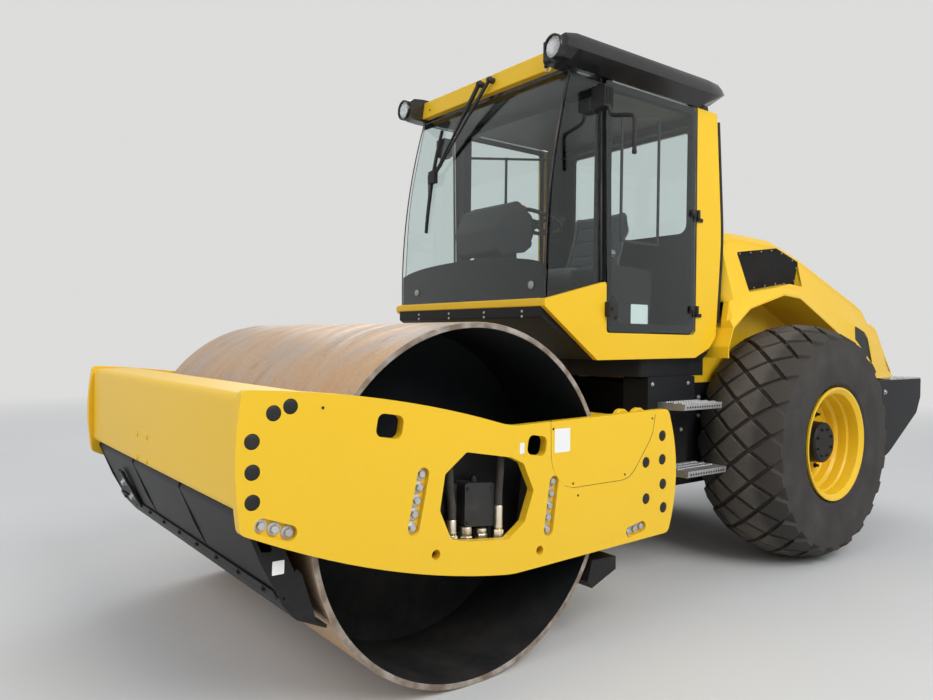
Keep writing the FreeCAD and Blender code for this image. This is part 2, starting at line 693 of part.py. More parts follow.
# Hood: x from the rear axle, z from the ground
HOOD = [(670, 2112, 60), (560, 2140, 300), (67, 2130, 500), (-280, 2045, 300), (-1251, 1722, 150),
        (-1365, 1610, 40), (-1514, 1580, 60)]
HOOD_FOOT = (-1696.0, 1160.5)
MESH = [(526, 2013, 15), (487, 1752, 15), (-39, 1834, 40), (-212, 1822, 15), (-262, 2004, 15),
        (22, 2081, 40)]
GRILLE = [(-933, 1563, 10), (-918, 1462, 10), (-1228, 1264, 10), (-1162, 1464, 10), (-1140, 1517, 10)]
# Crease along the hood's side: x from the rear axle, z from the ground
CREASE = [(740, 1560), (715, 1685), (670, 1699), (212, 1802), (-141, 1757), (-950, 1566), (-1251, 1430),
          (-1514, 1330), (-1680, 1195)]
# Hood's side sections: x from the rear axle, y at the crease, y at the lip
HOOD_SIDE = [(740, 750, 800), (715, 750, 800), (670, 750, 800), (559, 750, 800), (212, 750, 800),
             (155, 750, 800),
             (-50, 750, 800), (-141, 750, 800), (-280, 750, 800), (-601, 750, 800), (-950, 750, 800),
             (-1080, 748, 800), (-1251, 742, 782), (-1365, 735, 765), (-1514, 712, 740), (-1680, 698, 712)]
hood_shoulder = 60.0
hood_bevel = 40.0
lip_rise = 46.0
lip_reach = 24.0
hood_low = 1160.5
seat_gap = 0.5


# Hood's hinge axis behind its tail: x from the rear axle, z from the ground
hood_axis = (-1712.0, 1178.0)
HOOD_HINGES = (-420.0, 420.0)


def hood_pins():
    """Pins of the hood's hinges, each between two ears on the tail's tread plate."""
    ax, az = axle_x + hood_axis[0], hood_axis[1]
    pins = []
    for y in HOOD_HINGES:
        pin = disc(hinge_radius / 2 - running_gap, y - 54, y + 54, ax, az)
        foot = tail_top + running_gap
        ear = [(ax - 22, foot), (ax + 12, foot), (ax + 12, az, 4), (ax + 6, az + 12, 4), (ax - 10, az + 12, 4)]
        ears = [prism(ear, "y", low, low + 12) for low in (y - 54, y + 42)]
        pins.append(joined(pin, *ears))
    return Part.makeCompound(pins)


# Fender's top over the tyre, x from the rear axle and z from the ground
FENDER = [(fender_front, 1330), (fender_front, 1400, 20), (740, 1520, 40), (559, 1650, 60),
          (155, 1755, 80), (-50, 1740, 80),
          (-601, 1505, 120), (-1080, 1195)]


def hood_block(inset, low):
    """The hood's middle down to a height, or its hollow when inset."""
    (xa, za, _), foot = HOOD[-1], HOOD_FOOT
    tail = foot[0] + (xa - foot[0]) * (low - foot[1]) / (za - foot[1])
    corners = at_axle([(HOOD[0][0], low)] + HOOD + [(tail, low)])
    half = hood_half - inset
    wire = outline(corners, "y", -half)
    face = Part.Face(wire)
    if inset:
        face = face.makeOffset2D(-inset)
    solid = face.extrude(V(0, 2 * half, 0))
    top = [e for e in solid.Edges if abs(abs(e.CenterOfMass.y) - half) < 1 and e.BoundBox.ZMin > axle_z + 790]
    return solid.makeChamfer(hood_bevel, top)


def hood_side(inset):
    """The hood's flared left side, from its shoulder over the crease to the lip of the arch."""
    sections = []
    for x, crease_y, lip_y in HOOD_SIDE:
        crease = level(CREASE, x)
        top = crease + 10 if x > HOOD[0][0] else level(HOOD + [HOOD_FOOT], x) - hood_shoulder
        top = max(top, crease + 2)
        lip = max(level(FENDER, x) if x > FENDER[-1][0] else 0, hood_low + 4)
        wide = [(hood_half - 30, top), (hood_half - 4, top), (crease_y, crease),
                (lip_y - lip_reach, lip + lip_rise),
                (lip_y, lip)]
        points = [(y - inset, z - inset) for y, z in wide] + [(lip_y - inset, hood_low - 2 * inset)]
        ahead = inset if x == HOOD_SIDE[0][0] else (-inset if x == HOOD_SIDE[-1][0] else 0)
        place = axle_x + x - ahead
        points.append((hood_half - 30 - inset, hood_low - 2 * inset))
        sections.append([(place, y, z) for y, z in points])
    return skin(sections)


def hood_panel(corners):
    """Part of the flared side's sheet inside an outline, sunk into the sheet."""
    block = prism(at_axle(corners), "y", hood_half - hood_sheet, fender_outer + 1)
    return hood_side(4).cut(hood_side(hood_sheet - 2)).common(block)


def hood():
    """Hood that tilts back on hinges at its tail, hollow and open below."""
    side = hood_side(0)
    hollow_side = hood_side(hood_sheet)
    outer = hood_block(0, hood_low).fuse([side, flip(side)])
    wall_inner = chassis_half - fender_sheet - joint_gap
    openings = []
    for corners in (MESH, GRILLE):
        openings.append(prism(at_axle(corners), "y", -fender_outer - 1, fender_outer + 1))
    arch = [(x, z) + tuple(r) for x, z, *r in beside(FENDER, -seat_gap)]
    arch = prism(at_axle([(FENDER[0][0] + seat_gap, 1100)] + arch + [(FENDER[-1][0] - seat_gap, 1100)]),
                 "y",
                 wall_inner, fender_outer + 1)
    notch = box(axle_x + 700, axle_x + 760, cab_half - rail_notch_in, cab_half + rail_notch_out, 1480, 1730)
    shell = outer.cut([hood_block(hood_sheet, hood_low - 100), hollow_side, flip(hollow_side), arch,
                       flip(arch),
                       notch, flip(notch)] + openings)
    ax, az = axle_x + hood_axis[0], hood_axis[1]
    knuckles = []
    for y in HOOD_HINGES:
        barrel_part = disc(hinge_radius, y - 40, y + 40, ax, az)
        leaf = prism([(ax, az - 4), (ax, az + 8), (ax + 34, az + 8), (ax + 30, az - 4)], "y", y - 40,
                     y + 40)
        knuckles.append(joined(barrel_part, leaf).cut(disc(hinge_radius / 2, y - 41, y + 41, ax, az)))
    return joined(shell, *knuckles)


def hood_grilles():
    """Mesh panels in the hood's sides, flat beside the engine and sloping at the tail."""
    flat = prism(at_axle(MESH), "y", hood_half - hood_sheet, hood_half - 4)
    tail = hood_panel(GRILLE)
    return Part.makeCompound([flat, flip(flat), tail, flip(tail)])


def fender():
    """Left fender, a folded sheet from the hood's side out over the tyre."""
    arch = sheet(at_axle(FENDER), fender_sheet, "y", well_half, fender_outer)
    wall = FENDER + [(FENDER[-1][0], hood_low - 0.2), (FENDER[0][0], hood_low - 0.2)]
    wall = prism(at_axle(wall), "y", chassis_half - fender_sheet, well_half)
    return joined(arch, wall)


# Cab: x from the rear axle, z from the ground
PILLAR_BACK = [(800, roof_low), (734, 2082, 1800), (777, 1457, 60)]
SKIRT = [(2247, 1602, 15), (2247, 1638, 8), (1788, 1751, 15), (1782, 1472, 20), (989, 1469, 30),
         (1001, roof_low),
         *PILLAR_BACK, (846, 1388, 60), (985, 1331, 40), (1852, 1323, 30)]
# Grab rail's clamps on the pillar's rear edge: x from the rear axle, z from the ground
RAIL_CLAMPS = [(766.1, 1600), (786.4, 2700)]
rail_gap = 30.0
rail_radius = 12.0
# Mirror arm: x from the rear axle, distance out from the cab's side, z, bend
MIRROR_ARM = [(1855, 52, 2690, 0), (1850, 70, 2624, 26), (1843, 225, 2592, 30), (1838, 221, 2408, 0)]
arm_radius = 11.0


def cab_side():
    """Left skirt and rear pillar, round the door's opening."""
    return prism(at_axle(SKIRT), "y", cab_half - cab_skin, cab_half)


def deck():
    """Frame between the chassis and the cab, tapered in front to clear the front frame's swing."""
    back = axle_x + deck_back
    nose = axle_x + deck_nose
    wide = deck_half
    narrow = deck_half - 360
    return prism([(back, -wide, 20), (nose - 240, -wide, 60), (nose, -narrow, 60), (nose, narrow, 60),
                  (nose - 240, wide, 60), (back, wide, 20)], "z", deck_low, deck_high)


def cab_floor():
    """Floor and footwell between the skirts."""
    half = cab_half - cab_skin - running_gap
    floor_low = deck_high + running_gap
    corners = [(2240, 1545, 10), (2240, 1610), (2200, 1610), (1840, floor_high, 30),
               (cab_back, floor_high, 10),
               (cab_back + 60, floor_low), (1860, floor_low, 30)]
    floor = prism(at_axle(corners), "y", -half, half)
    strip = prism(at_axle([(2222, 1602), (2247, 1602, 8), (2247, 1643, 8), (2222, 1643)]), "y", -half, half)
    return joined(floor, strip)


def cab_posts():
    """Dark posts behind the door's front edge and in the rear corners, with the rails between them."""
    outer = cab_half - cab_skin - glass - 0.6
    inner = outer - post_width
    low = floor_high + running_gap
    post = box(axle_x + 1720, axle_x + 1785, inner, outer, low, roof_low)
    rear_post = box(axle_x + cab_back + 30, axle_x + cab_back + 150, inner, outer, low, roof_low)
    rail = box(axle_x + 1720, axle_x + 1785, -inner, inner, roof_low - 60, roof_low)
    rear_rail = box(axle_x + cab_back + 30, axle_x + cab_back + 100, -inner, inner, roof_low - 60, roof_low)
    return joined(post, flip(post), rear_post, flip(rear_post), rail, rear_rail)


def cab_rear():
    """Rear wall, with its window cut above the hood."""
    half = cab_half - cab_skin - running_gap
    wall = box(axle_x + cab_back, axle_x + cab_back + 29.7, -half, half, floor_high + running_gap, roof_low)
    return wall.cut(prism(rear_window(), "x", axle_x + cab_back - 1, axle_x + cab_back + 31))


def rear_window():
    """Outline of the rear window, rounded at its foot."""
    half = cab_half - 200
    low, high = 2125, roof_low - 80
    return [(-half, low, 60), (half, low, 60), (half, high, 20), (-half, high, 20)]


def rear_glass():
    return prism(rear_window(), "x", axle_x + cab_back + 10, axle_x + cab_back + 10 + glass)


# Front glass, an arc: x from the rear axle, z from the ground
WINDSHIELD = [(2220, 1610.3), (2185, 2302), (2066, roof_low - running_gap)]
GLASS_ARC = Part.Arc(*[V(axle_x + x, 0, z) for x, z in WINDSHIELD]).toShape().Curve


def before_glass(z, distance):
    """Point on the machine's middle plane, at a height of the front glass and a distance before it."""
    rise = math.asin((z - GLASS_ARC.Center.z) / GLASS_ARC.Radius)
    reach = GLASS_ARC.Radius + distance
    return GLASS_ARC.Center + V(reach * math.cos(rise), 0, reach * math.sin(rise))


def curved(z0, z1, near, far, y0, y1):
    """Strip that follows the front glass between two heights and two distances before it."""
    z_mid = (z0 + z1) / 2
    arcs = [Part.Arc(*[before_glass(z, d) for z in (z0, z_mid, z1)]).toShape() for d in (near, far)]
    ends = [Part.LineSegment(before_glass(z, near), before_glass(z, far)).toShape() for z in (z0, z1)]
    face = Part.Face(Part.Wire([arcs[0], ends[1], arcs[1], ends[0]]))
    face.translate(V(0, y0, 0))
    return face.extrude(V(0, y1 - y0, 0))


def windshield():
    """Curved front glass."""
    return curved(WINDSHIELD[0][1], WINDSHIELD[2][1], -glass, 0, -cab_front_half, cab_front_half)


def pane(corners, y0, y1):
    """Glass pane between two offsets from the middle."""
    return prism(at_axle(corners), "y", y0, y1)


QUARTER = [(2206, 1622), (2173, 2302, 2500), (2054, 2844.7), (1822, 2844.7), (1793, 1730)]
# Door's hinge axis: x from the rear axle, y
door_hinge = (990.0, cab_half + 12.0)
DOOR_HINGES = (1600.0, 2180.0)
hinge_height = 45.0
hinge_radius = 11.0
DOOR = [(1816, 2840, 20), (1776, 1478, 30), (995, 1475, 30), (1007, 2840, 20)]
RIGHT_PANE = [(1816, 2844.7), (1776, 1450), (970, 1450), (980, 2844.7)]


def side_glass():
    """Quarter panes each side and the fixed pane on the right."""
    outer = cab_half - cab_skin - 0.3
    quarter = pane(QUARTER, outer - glass, outer)
    right = flip(pane(RIGHT_PANE, outer - glass, outer))
    return Part.makeCompound([quarter, flip(quarter), right])


def door_left():
    return pane(DOOR, cab_half - glass, cab_half)


def door_fittings():
    """Latch box at the door's front corner and the two hinge plates at its rear edge."""
    latch = box(axle_x + 1730, axle_x + 1800, cab_half + 0.3, cab_half + 35, 1560, 1640)
    hx, hy = axle_x + door_hinge[0], door_hinge[1]
    hinges = []
    for z in DOOR_HINGES:
        knuckle = bar((hx, hy, z), (hx, hy, z + hinge_height), hinge_radius)
        leaf = box(hx, hx + 60, cab_half + running_gap, cab_half + 9, z, z + hinge_height)
        bore = bar((hx, hy, z - 1), (hx, hy, z + hinge_height + 1), hinge_radius / 2)
        hinges.append(joined(knuckle, leaf).cut(bore))
    return Part.makeCompound([latch] + hinges)


def door_pins():
    """Pins of the door's hinges, each on a bracket bolted to the pillar."""
    hx, hy = axle_x + door_hinge[0], door_hinge[1]
    pins = []
    for z in DOOR_HINGES:
        pin = bar((hx, hy, z - hinge_height / 2), (hx, hy, z + hinge_height - 2),
                  hinge_radius / 2 - running_gap)
        seat = bar((hx, hy, z - hinge_height / 2), (hx, hy, z - 1), hinge_radius)
        leaf = box(hx - 50, hx, cab_half + running_gap, cab_half + 9, z - hinge_height / 2, z - 1)
        pins.append(joined(seat, leaf, pin))
    return Part.makeCompound(pins)


# Roof's middle and its side fairing: x from the rear axle, height over the cab's posts
ROOF = [(2060, 0.3), (2090, 120, 30), (1500, 150, 900), (820, 115, 100), (800, 0.3)]
# Fairing's sections: x from the rear axle, heights over the posts of its foot, side and top, then how far
# each stands out from the roof's middle
FAIRING = [(2206, 16, 70, 118, 50, 112, 82), (2180, 4, 62, 136, 59, 140, 112),
           (2110, 0.3, 60, 145, 63, 147, 126),
           (1500, 0.3, 62, 147, 65, 150, 128), (1000, 2, 64, 149, 65, 150, 128),
           (880, 34, 76, 148, 60, 141, 118),
           (796, 84, 104, 138, 48, 110, 92)]


def over_posts(corners):
    return [(axle_x + x, roof_low + z) + tuple(r) for x, z, *r in corners]


def fairing():
    """Swept fairing along the roof's left side, with the housing of its lamp in front."""
    sections = []
    for x, foot, side, top, foot_out, side_out, top_out in FAIRING:
        section = [(-20, foot), (foot_out, foot), (side_out, side), (side_out - 3, top - 32),
                   (top_out, top),
                   (-20, top)]
        sections.append([(axle_x + x, roof_half + out, roof_low + z) for out, z in section])
    lamp = (lamp_y, roof_low + lamp_rise)
    ring = bar((axle_x + 2100, *lamp), (axle_x + lamp_front, *lamp), lamp_radius + 9)
    well = bar((axle_x + lamp_front - 26, *lamp), (axle_x + lamp_front + 1, *lamp), lamp_radius)
    return skin(sections).fuse(ring).cut(well)


def cab_roof():
    """Roof with a swept fairing along each side."""
    top = prism(over_posts(ROOF), "y", -roof_half, roof_half)
    side = fairing()
    return joined(top, side, flip(side))


def roof_band():
    """Coloured band along the roof's front edge."""
    band = prism(over_posts([(2050, 17), (2112, 17, 6), (2097, 125, 6), (2050, 130)]), "y",
                 -roof_half + 0.3,
                 roof_half - 0.3)
    return band.cut(cab_roof())


def work_lamps():
    """Round lamps sunk in the fairings' front ends."""
    front = axle_x + lamp_front
    lamp = bar((front - 26, lamp_y, roof_low + lamp_rise), (front - 8, lamp_y, roof_low + lamp_rise),
               lamp_radius - running_gap)
    return both(lamp)


def cab_rails():
    """Mirror arms and the grab rails behind the rear pillars."""
    top, middle, bottom = PILLAR_BACK
    rail_y = cab_half - cab_skin / 2
    behind = axle_x - rail_gap
    rail = tube([(behind + top[0] - 4, rail_y, roof_low - 45, 0),
                 (behind + middle[0], rail_y, middle[1], middle[2]),
                 (behind + bottom[0] - 6, rail_y, 1550, 0)], rail_radius)
    for x, z in RAIL_CLAMPS:
        rail = joined(rail, bar((axle_x + x - rail_gap - 6, rail_y, z), (axle_x + x - seat_gap, rail_y, z),
                                9))
    arm = tube([(axle_x + x, cab_half + out, z, bend) for x, out, z, bend in MIRROR_ARM], arm_radius)
    mount = box(axle_x + 1824, axle_x + 1896, cab_half - cab_skin, cab_half + 62, 2670, 2785)
    arm = joined(mount, arm)
    return Part.makeCompound([rail, flip(rail), arm, flip(arm)])


# Wiper: pivots on the roof band (y, z), and the blade's y and its ends' heights
WIPER_PIVOTS = [(0.0, 2925.0), (95.0, 2925.0)]
blade_y = -410.0
blade_low = 2086.0
blade_high = 2742.0


def wiper():
    """Two parallel arms that hang from the roof band, and the blade on the glass."""
    blade = curved(blade_low, blade_high, running_gap, 16, blade_y - 7, blade_y + 7)
    pivot_face = axle_x + 2105.7
    pieces = []
    for (y, z), drop in zip(WIPER_PIVOTS, (514, 470)):
        foot = before_glass(z - drop, 22)
        top = (pivot_face + 30, y, z)
        end = (foot.x, blade_y + (y - WIPER_PIVOTS[0][0]) * 0.42 + 12, foot.z)
        pieces += [bar((pivot_face, y, z), (pivot_face + 36, y, z), 15), bar(top, end, 7)]
    first = before_glass(2925 - 514, 10)
    holder = box(first.x - 4, first.x + 26, blade_y - 5, blade_y + 56, 2925 - 530, 2925 - 455)
    return joined(blade, holder, *pieces)


# Seat's outlines: x from the rear axle, z from the ground
SEAT_STAND = [(1120, floor_high + running_gap), (1540, floor_high + running_gap), (1540, 1450, 20),
              (1490, 1490),
              (1490, 1650), (1560, 1690), (1560, 1749.7, 10), (1090, 1749.7, 10), (1090, 1690),
              (1170, 1650), (1170, 1490),
              (1120, 1450, 20)]
CUSHION = [(1120, 1750), (1570, 1750, 20), (1625, 1800, 40), (1600, 1885, 45), (1120, 1860, 20)]
SEAT_BACK = [(1245, 1850, 20), (1115, 1845, 10), (1020, 2150, 40), (1040, 2290, 40), (1120, 2290, 45),
             (1160, 2120, 60)]
seat_half = 245.0


def seat_base():
    """Sprung stand of the seat."""
    return prism(at_axle(SEAT_STAND), "y", -190, 190)


def seat_cushion():
    return prism(at_axle(CUSHION), "y", -seat_half, seat_half)


def seat_back():
    back = prism(at_axle(SEAT_BACK), "y", -seat_half + 20, seat_half - 20)
    return back.cut(seat_cushion())


# Dash, its pedestal and the steering column: x from the rear axle, z from the ground
DASH = [(2125, 1905, 40), (2150, 2060, 60), (2090, 2190, 50), (1985, 2238, 50), (1865, 2150, 30),
        (1895, 1960, 40)]
PEDESTAL = [(1890, floor_high + 40), (2010, 1500), (2090, 1900, 60), (2040, 2050), (1910, 2050),
            (1870, 1700, 200)]
COLUMN = [(1727, 2012, 30), (1760, 2072, 20), (1920, 2040), (1920, 1960), (1800, 1960, 40)]
dash_half = 190.0
wheel_centre = (1695.0, 2165.0)
wheel_radius = 175.0
wheel_lean = 20.0


def dash_pod():
    """Hooded dash on a narrow pedestal."""
    pedestal = prism(at_axle(PEDESTAL), "y", -85, 85)
    foot = box(axle_x + 1860, axle_x + 1930, -85, 85, floor_high + 20.3, floor_high + 80)
    return joined(prism(at_axle(DASH), "y", -dash_half, dash_half), pedestal, foot).cut(cab_floor())


def steering_wheel():
    """Wheel with three spokes on its leaning column."""
    lean = math.radians(wheel_lean)
    centre = V(axle_x + wheel_centre[0], 0, wheel_centre[1])
    axis = V(-math.sin(lean), 0, math.cos(lean))
    across = V(math.cos(lean), 0, math.sin(lean))
    corners = []
    for k in range(9):
        angle = math.pi / 4 * k
        reach = wheel_radius + 14 * math.cos(angle)
        corners.append(centre + across * reach + axis * (14 * math.sin(angle)))
    ring = Part.Face(Part.makePolygon(corners)).revolve(centre, axis, 360)
    hub_piece = bar(tuple(centre - axis * 40), tuple(centre + axis * 8), 40)
    spokes = []
    for turn in (90, 180, 270):
        spoke = Part.makeBox(wheel_radius - 4, 26, 8, V(0, -13, -6))
        spoke.rotate(V(0, 0, 0), V(0, 0, 1), turn)
        spoke.rotate(V(0, 0, 0), V(0, 1, 0), -wheel_lean)
        spoke.translate(centre)
        spokes.append(spoke)
    stalk = bar(tuple(centre - axis * 120), tuple(centre - axis * 30), 26)
    column = prism(at_axle(COLUMN), "y", -45, 45)
    return joined(ring, hub_piece, *spokes, stalk, column).cut(dash_pod())


# Consoles beside the seat: x from the rear axle, z from the ground; levers by x and y
CONSOLE = [(1130, floor_high + running_gap), (1420, floor_high + running_gap), (1430, 1680, 60),
           (1590, 1760, 40),
           (1600, 1850, 30), (1500, 1885, 30), (1110, 1870, 30), (1110, 1720, 40)]
LEVERS = [(1400, 300), (1400, 390)]
console_inner = 262.0
console_outer = 455.0
lever_top = 1958.0
knob_radius = 17.0


def console():
    """Console on each side of the seat, the left one with two levers."""
    side = prism(at_axle(CONSOLE), "y", console_inner, console_outer)
    left = [side]
    for x, y in LEVERS:
        left.append(bar((axle_x + x + 15, y, 1860), (axle_x + x, y, lever_top), 6))
        left.append(bar((axle_x + x + 16, y, 1872), (axle_x + x + 11, y, 1898), 24))
        left.append(bar((axle_x + x + 3, y, lever_top - 14), (axle_x + x - 3, y, lever_top + 14),
                        knob_radius))
    return Part.makeCompound([joined(*left), flip(side)])


NODES = {
    "side_plate_left": side_plate(),
    "front_crossbar": crossbar(crossbar_front - crossbar_depth, crossbar_front, front_bar_low,
                               front_bar_high),
    "rear_crossbar": rear_crossbar(),
    "front_scraper": front_scraper(),
    "rear_scraper": rear_scraper(),
    "rubber_blocks": rubber_blocks(),
    "drum_carriers": both(drum_carrier()),
    "drum_motors": drum_motors(),
    "drum": drum(),
    "pivot_yoke": pivot_yoke(),
    "steer_barrel_left": barrel(),
    "steer_rod_left": rod(),
    "chassis": chassis(),
    "pivot_pin": pivot_pin(),
    "rear_axle": rear_axle(),
    "tyre_left": tyre(),
    "rim_left": rim(),
    "hub_left": hub(),
    "deck": deck(),
    "tanks": tanks(),
    "steps": steps(),
    "counterweight": counterweight(),
    "rear_step": rear_step(),
    "engine_block": engine_block(),
    "hood": hood(),
    "hood_grilles": hood_grilles(),
    "hood_pins": hood_pins(),
    "fenders": both(fender()),
    "cab_side_left": cab_side(),
    "cab_floor": cab_floor(),
    "cab_posts": cab_posts(),
    "cab_rear": cab_rear(),
    "rear_glass": rear_glass(),
    "windshield": windshield(),
    "side_glass": side_glass(),
    "door_left": door_left(),
    "door_fittings": door_fittings(),
    "door_pins": door_pins(),
    "cab_roof": cab_roof(),
    "roof_band": roof_band(),
    "work_lamps": work_lamps(),
    "cab_rails": cab_rails(),
    "wiper": wiper(),
    "seat_base": seat_base(),
    "seat_cushion": seat_cushion(),
    "seat_back": seat_back(),
    "dash_pod": dash_pod(),
    "steering_wheel": steering_wheel(),
    "console": console(),
}
for name in [n for n in NODES if n.endswith("_left") and n != "door_left"]:
    NODES[name.replace("_left", "_right")] = flip(NODES[name])

os.makedirs("parts", exist_ok=True)
for name, shape in NODES.items():
    solids = shape.Solids
    whole = solids[0] if len(solids) == 1 else Part.makeCompound(solids)
    whole.exportStep("parts/" + name + ".step")
    print(name, len(solids), whole.isValid(), round(whole.Volume / 1e6, 2))
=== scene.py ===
import bmesh
import bpy
import json
import math
import random
from mathutils import Matrix, Vector


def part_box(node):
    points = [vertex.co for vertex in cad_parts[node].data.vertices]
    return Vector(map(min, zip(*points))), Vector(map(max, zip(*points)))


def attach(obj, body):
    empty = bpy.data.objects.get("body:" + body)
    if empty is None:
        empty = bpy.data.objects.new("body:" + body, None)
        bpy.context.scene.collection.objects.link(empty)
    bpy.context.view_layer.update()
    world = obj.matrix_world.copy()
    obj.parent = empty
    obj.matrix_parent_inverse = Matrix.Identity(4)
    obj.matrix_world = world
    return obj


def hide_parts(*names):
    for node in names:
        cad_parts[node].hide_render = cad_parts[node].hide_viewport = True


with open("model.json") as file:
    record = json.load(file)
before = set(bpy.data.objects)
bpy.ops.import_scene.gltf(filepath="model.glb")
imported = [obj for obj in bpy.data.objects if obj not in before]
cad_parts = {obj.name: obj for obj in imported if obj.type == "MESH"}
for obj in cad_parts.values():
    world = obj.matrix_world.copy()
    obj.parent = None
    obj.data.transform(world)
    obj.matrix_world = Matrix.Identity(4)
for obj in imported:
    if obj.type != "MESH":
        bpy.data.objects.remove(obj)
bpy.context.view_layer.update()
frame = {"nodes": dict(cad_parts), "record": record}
NODE = frame["nodes"]

# Directions and places in the machine's frame, in metres
AHEAD, LEFT, UP = Vector((1, 0, 0)), Vector((0, 1, 0)), Vector((0, 0, 1))
drum_low, drum_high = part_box("drum")
drum_x = (drum_low.x + drum_high.x) / 2
drum_z = (drum_low.z + drum_high.z) / 2
drum_radius = (drum_high.z - drum_low.z) / 2
hub_low, hub_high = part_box("hub_left")
axle_x = (hub_low.x + hub_high.x) / 2
axle_z = (hub_low.z + hub_high.z) / 2
tyre_low, tyre_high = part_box("tyre_left")
tyre_radius = (tyre_high.z - tyre_low.z) / 2
tyre_y = (tyre_low.y + tyre_high.y) / 2
plate_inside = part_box("side_plate_left")[0].y
plate_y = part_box("side_plate_left")[1].y
roof_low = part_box("cab_posts")[1].z
cab_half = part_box("cab_side_left")[1].y


# Node trees

class Tree:
    """A node tree, with short ways to add to it."""

    def __init__(self, tree):
        self.tree = tree

    def node(self, kind, settings=(), **inputs):
        """New node, with values or other nodes' outputs on its inputs by name or number."""
        made = self.tree.nodes.new("ShaderNode" + kind)
        for key, value in dict(settings).items():
            setattr(made, key, value)
        for key, value in inputs.items():
            numbered = key[0] == "i" and key[1:].isdigit()
            self.feed(value, made.inputs[int(key[1:]) if numbered else key])
        return made

    def feed(self, value, socket):
        if isinstance(value, bpy.types.NodeSocket):
            self.tree.links.new(value, socket)
        else:
            socket.default_value = value

    def place(self):
        """The piece's own coordinates, in metres, which move with it."""
        return self.node("TexCoord").outputs["Object"]

    def noise(self, scale, detail=4.0, vector=None, rough=0.5, distortion=0.0):
        return self.node("TexNoise", Vector=vector or self.place(), Scale=scale, Detail=detail,
                         Roughness=rough, Distortion=distortion).outputs["Fac"]

    def ramp(self, value, *stops):
        """Colour ramp through (position, colour or grey)."""
        made = self.node("ValToRGB", Fac=value)
        band = made.color_ramp
        while len(band.elements) < len(stops):
            band.elements.new(0.5)
        for element, (position, shade) in zip(band.elements, stops):
            element.position = position
            element.color = (shade, shade, shade, 1) if isinstance(shade, (int, float)) else (*shade, 1)
        return made.outputs["Color"]

    def mix(self, factor, low, high):
        low, high = ((*c, 1) if isinstance(c, tuple) else c for c in (low, high))
        made = self.node("Mix", {"data_type": "RGBA"}, Factor=factor, i6=low, i7=high)
        return made.outputs[2]

    def math(self, operation, a, b=0.0):
        return self.node("Math", {"operation": operation}, i0=a, i1=b).outputs[0]

    def times(self, a, b):
        return self.math("MULTIPLY", a, b)

    def plus(self, a, b):
        return self.math("ADD", a, b)

    def seen(self):
        """1 on rays that come from the camera, also through glass or off a shine, and 0 on others."""
        path = self.node("LightPath").outputs
        passed = self.math("MAXIMUM", path["Is Transmission Ray"], path["Is Glossy Ray"])
        return self.math("MAXIMUM", path["Is Camera Ray"], passed)

    def show(self, output, share, low, high):
        """Puts two shaders, mixed by a share, on the tree's output."""
        mixed = self.node("MixShader", Fac=share, i1=low, i2=high).outputs[0]
        self.feed(mixed, self.tree.nodes[output].inputs["Surface"])


class Material(Tree):
    """A material and its node tree, with the Principled shader as its surface."""

    def __init__(self, name, colour, roughness, **sockets):
        self.material = bpy.data.materials.new(name)
        self.material.use_nodes = True
        super().__init__(self.material.node_tree)
        self.shader = self.tree.nodes["Principled BSDF"]
        self.surface(colour=(*colour, 1), rough=roughness)
        for socket, value in sockets.items():
            self.shader.inputs[socket.replace("_", " ")].default_value = value

    def surface(self, colour, rough):
        self.feed(colour, self.shader.inputs["Base Color"])
        self.feed(rough, self.shader.inputs["Roughness"])

    def bump(self, height, distance):
        made = self.node("Bump", Height=height, Distance=distance, Strength=1.0)
        self.feed(made.outputs[0], self.shader.inputs["Normal"])


DUST = (0.30, 0.24, 0.18)


def painted(name, colour, roughness, coat=0.08, shine=0.36):
    """Sprayed paint with orange peel, fine dust that gathers low down, and faint shade changes."""
    m = Material(name, colour, roughness, Coat_Weight=coat, Coat_Roughness=0.16, Specular_IOR_Level=shine)
    cloud = m.noise(1.7, 5.0, rough=0.6)
    height = m.node("SeparateXYZ", Vector=m.place()).outputs["Z"]
    low = m.ramp(height, (0.0, 1.0), (0.75, 0.35), (1.0, 0.12))
    speck = m.ramp(m.noise(36.0, 6.0, rough=0.75), (0.45, 0.0), (0.8, 1.0))
    veil = m.times(m.times(low, m.ramp(cloud, (0.3, 0.2), (0.75, 1.0))), 0.12)
    dusty = m.plus(m.times(veil, 0.6), m.times(speck, veil))
    darker = tuple(c * 0.93 for c in colour)
    m.surface(m.mix(dusty, m.mix(cloud, darker, colour), DUST),
              m.plus(m.times(dusty, 0.6), m.plus(m.times(cloud, 0.08), roughness - 0.04)))
    m.bump(m.noise(420.0, 2.0), 0.00012)
    return m.material


def moulded(name, colour, roughness, grain=900.0, depth=0.00008, dust=0.08, shine=0.24):
    """Moulded plastic with a fine leather grain and a little dust."""
    m = Material(name, colour, roughness, Specular_IOR_Level=shine)
    cells = m.node("TexVoronoi", {"feature": "SMOOTH_F1"}, Vector=m.place(), Scale=grain)
    cloud = m.noise(3.0, 5.0, rough=0.6)
    lighter = tuple(min(1, c * 1.6 + 0.01) for c in colour)
    dusty = m.times(m.ramp(cloud, (0.4, 0.0), (0.8, 1.0)), dust)
    m.surface(m.mix(dusty, m.mix(cloud, colour, lighter), DUST),
              m.ramp(cloud, (0.2, roughness - 0.06), (0.8, roughness + 0.08)))
    m.bump(cells.outputs["Distance"], depth)
    return m.material


def around(m, centre_x, centre_z):
    """Distance from an axis along Y, and the vector from it, as node outputs."""
    parts = m.node("SeparateXYZ", Vector=m.place()).outputs
    flat = m.node("CombineXYZ", X=m.math("SUBTRACT", parts["X"], centre_x),
                  Z=m.math("SUBTRACT", parts["Z"], centre_z)).outputs[0]
    return m.node("VectorMath", {"operation": "LENGTH"}, i0=flat).outputs["Value"], flat, parts["Y"]


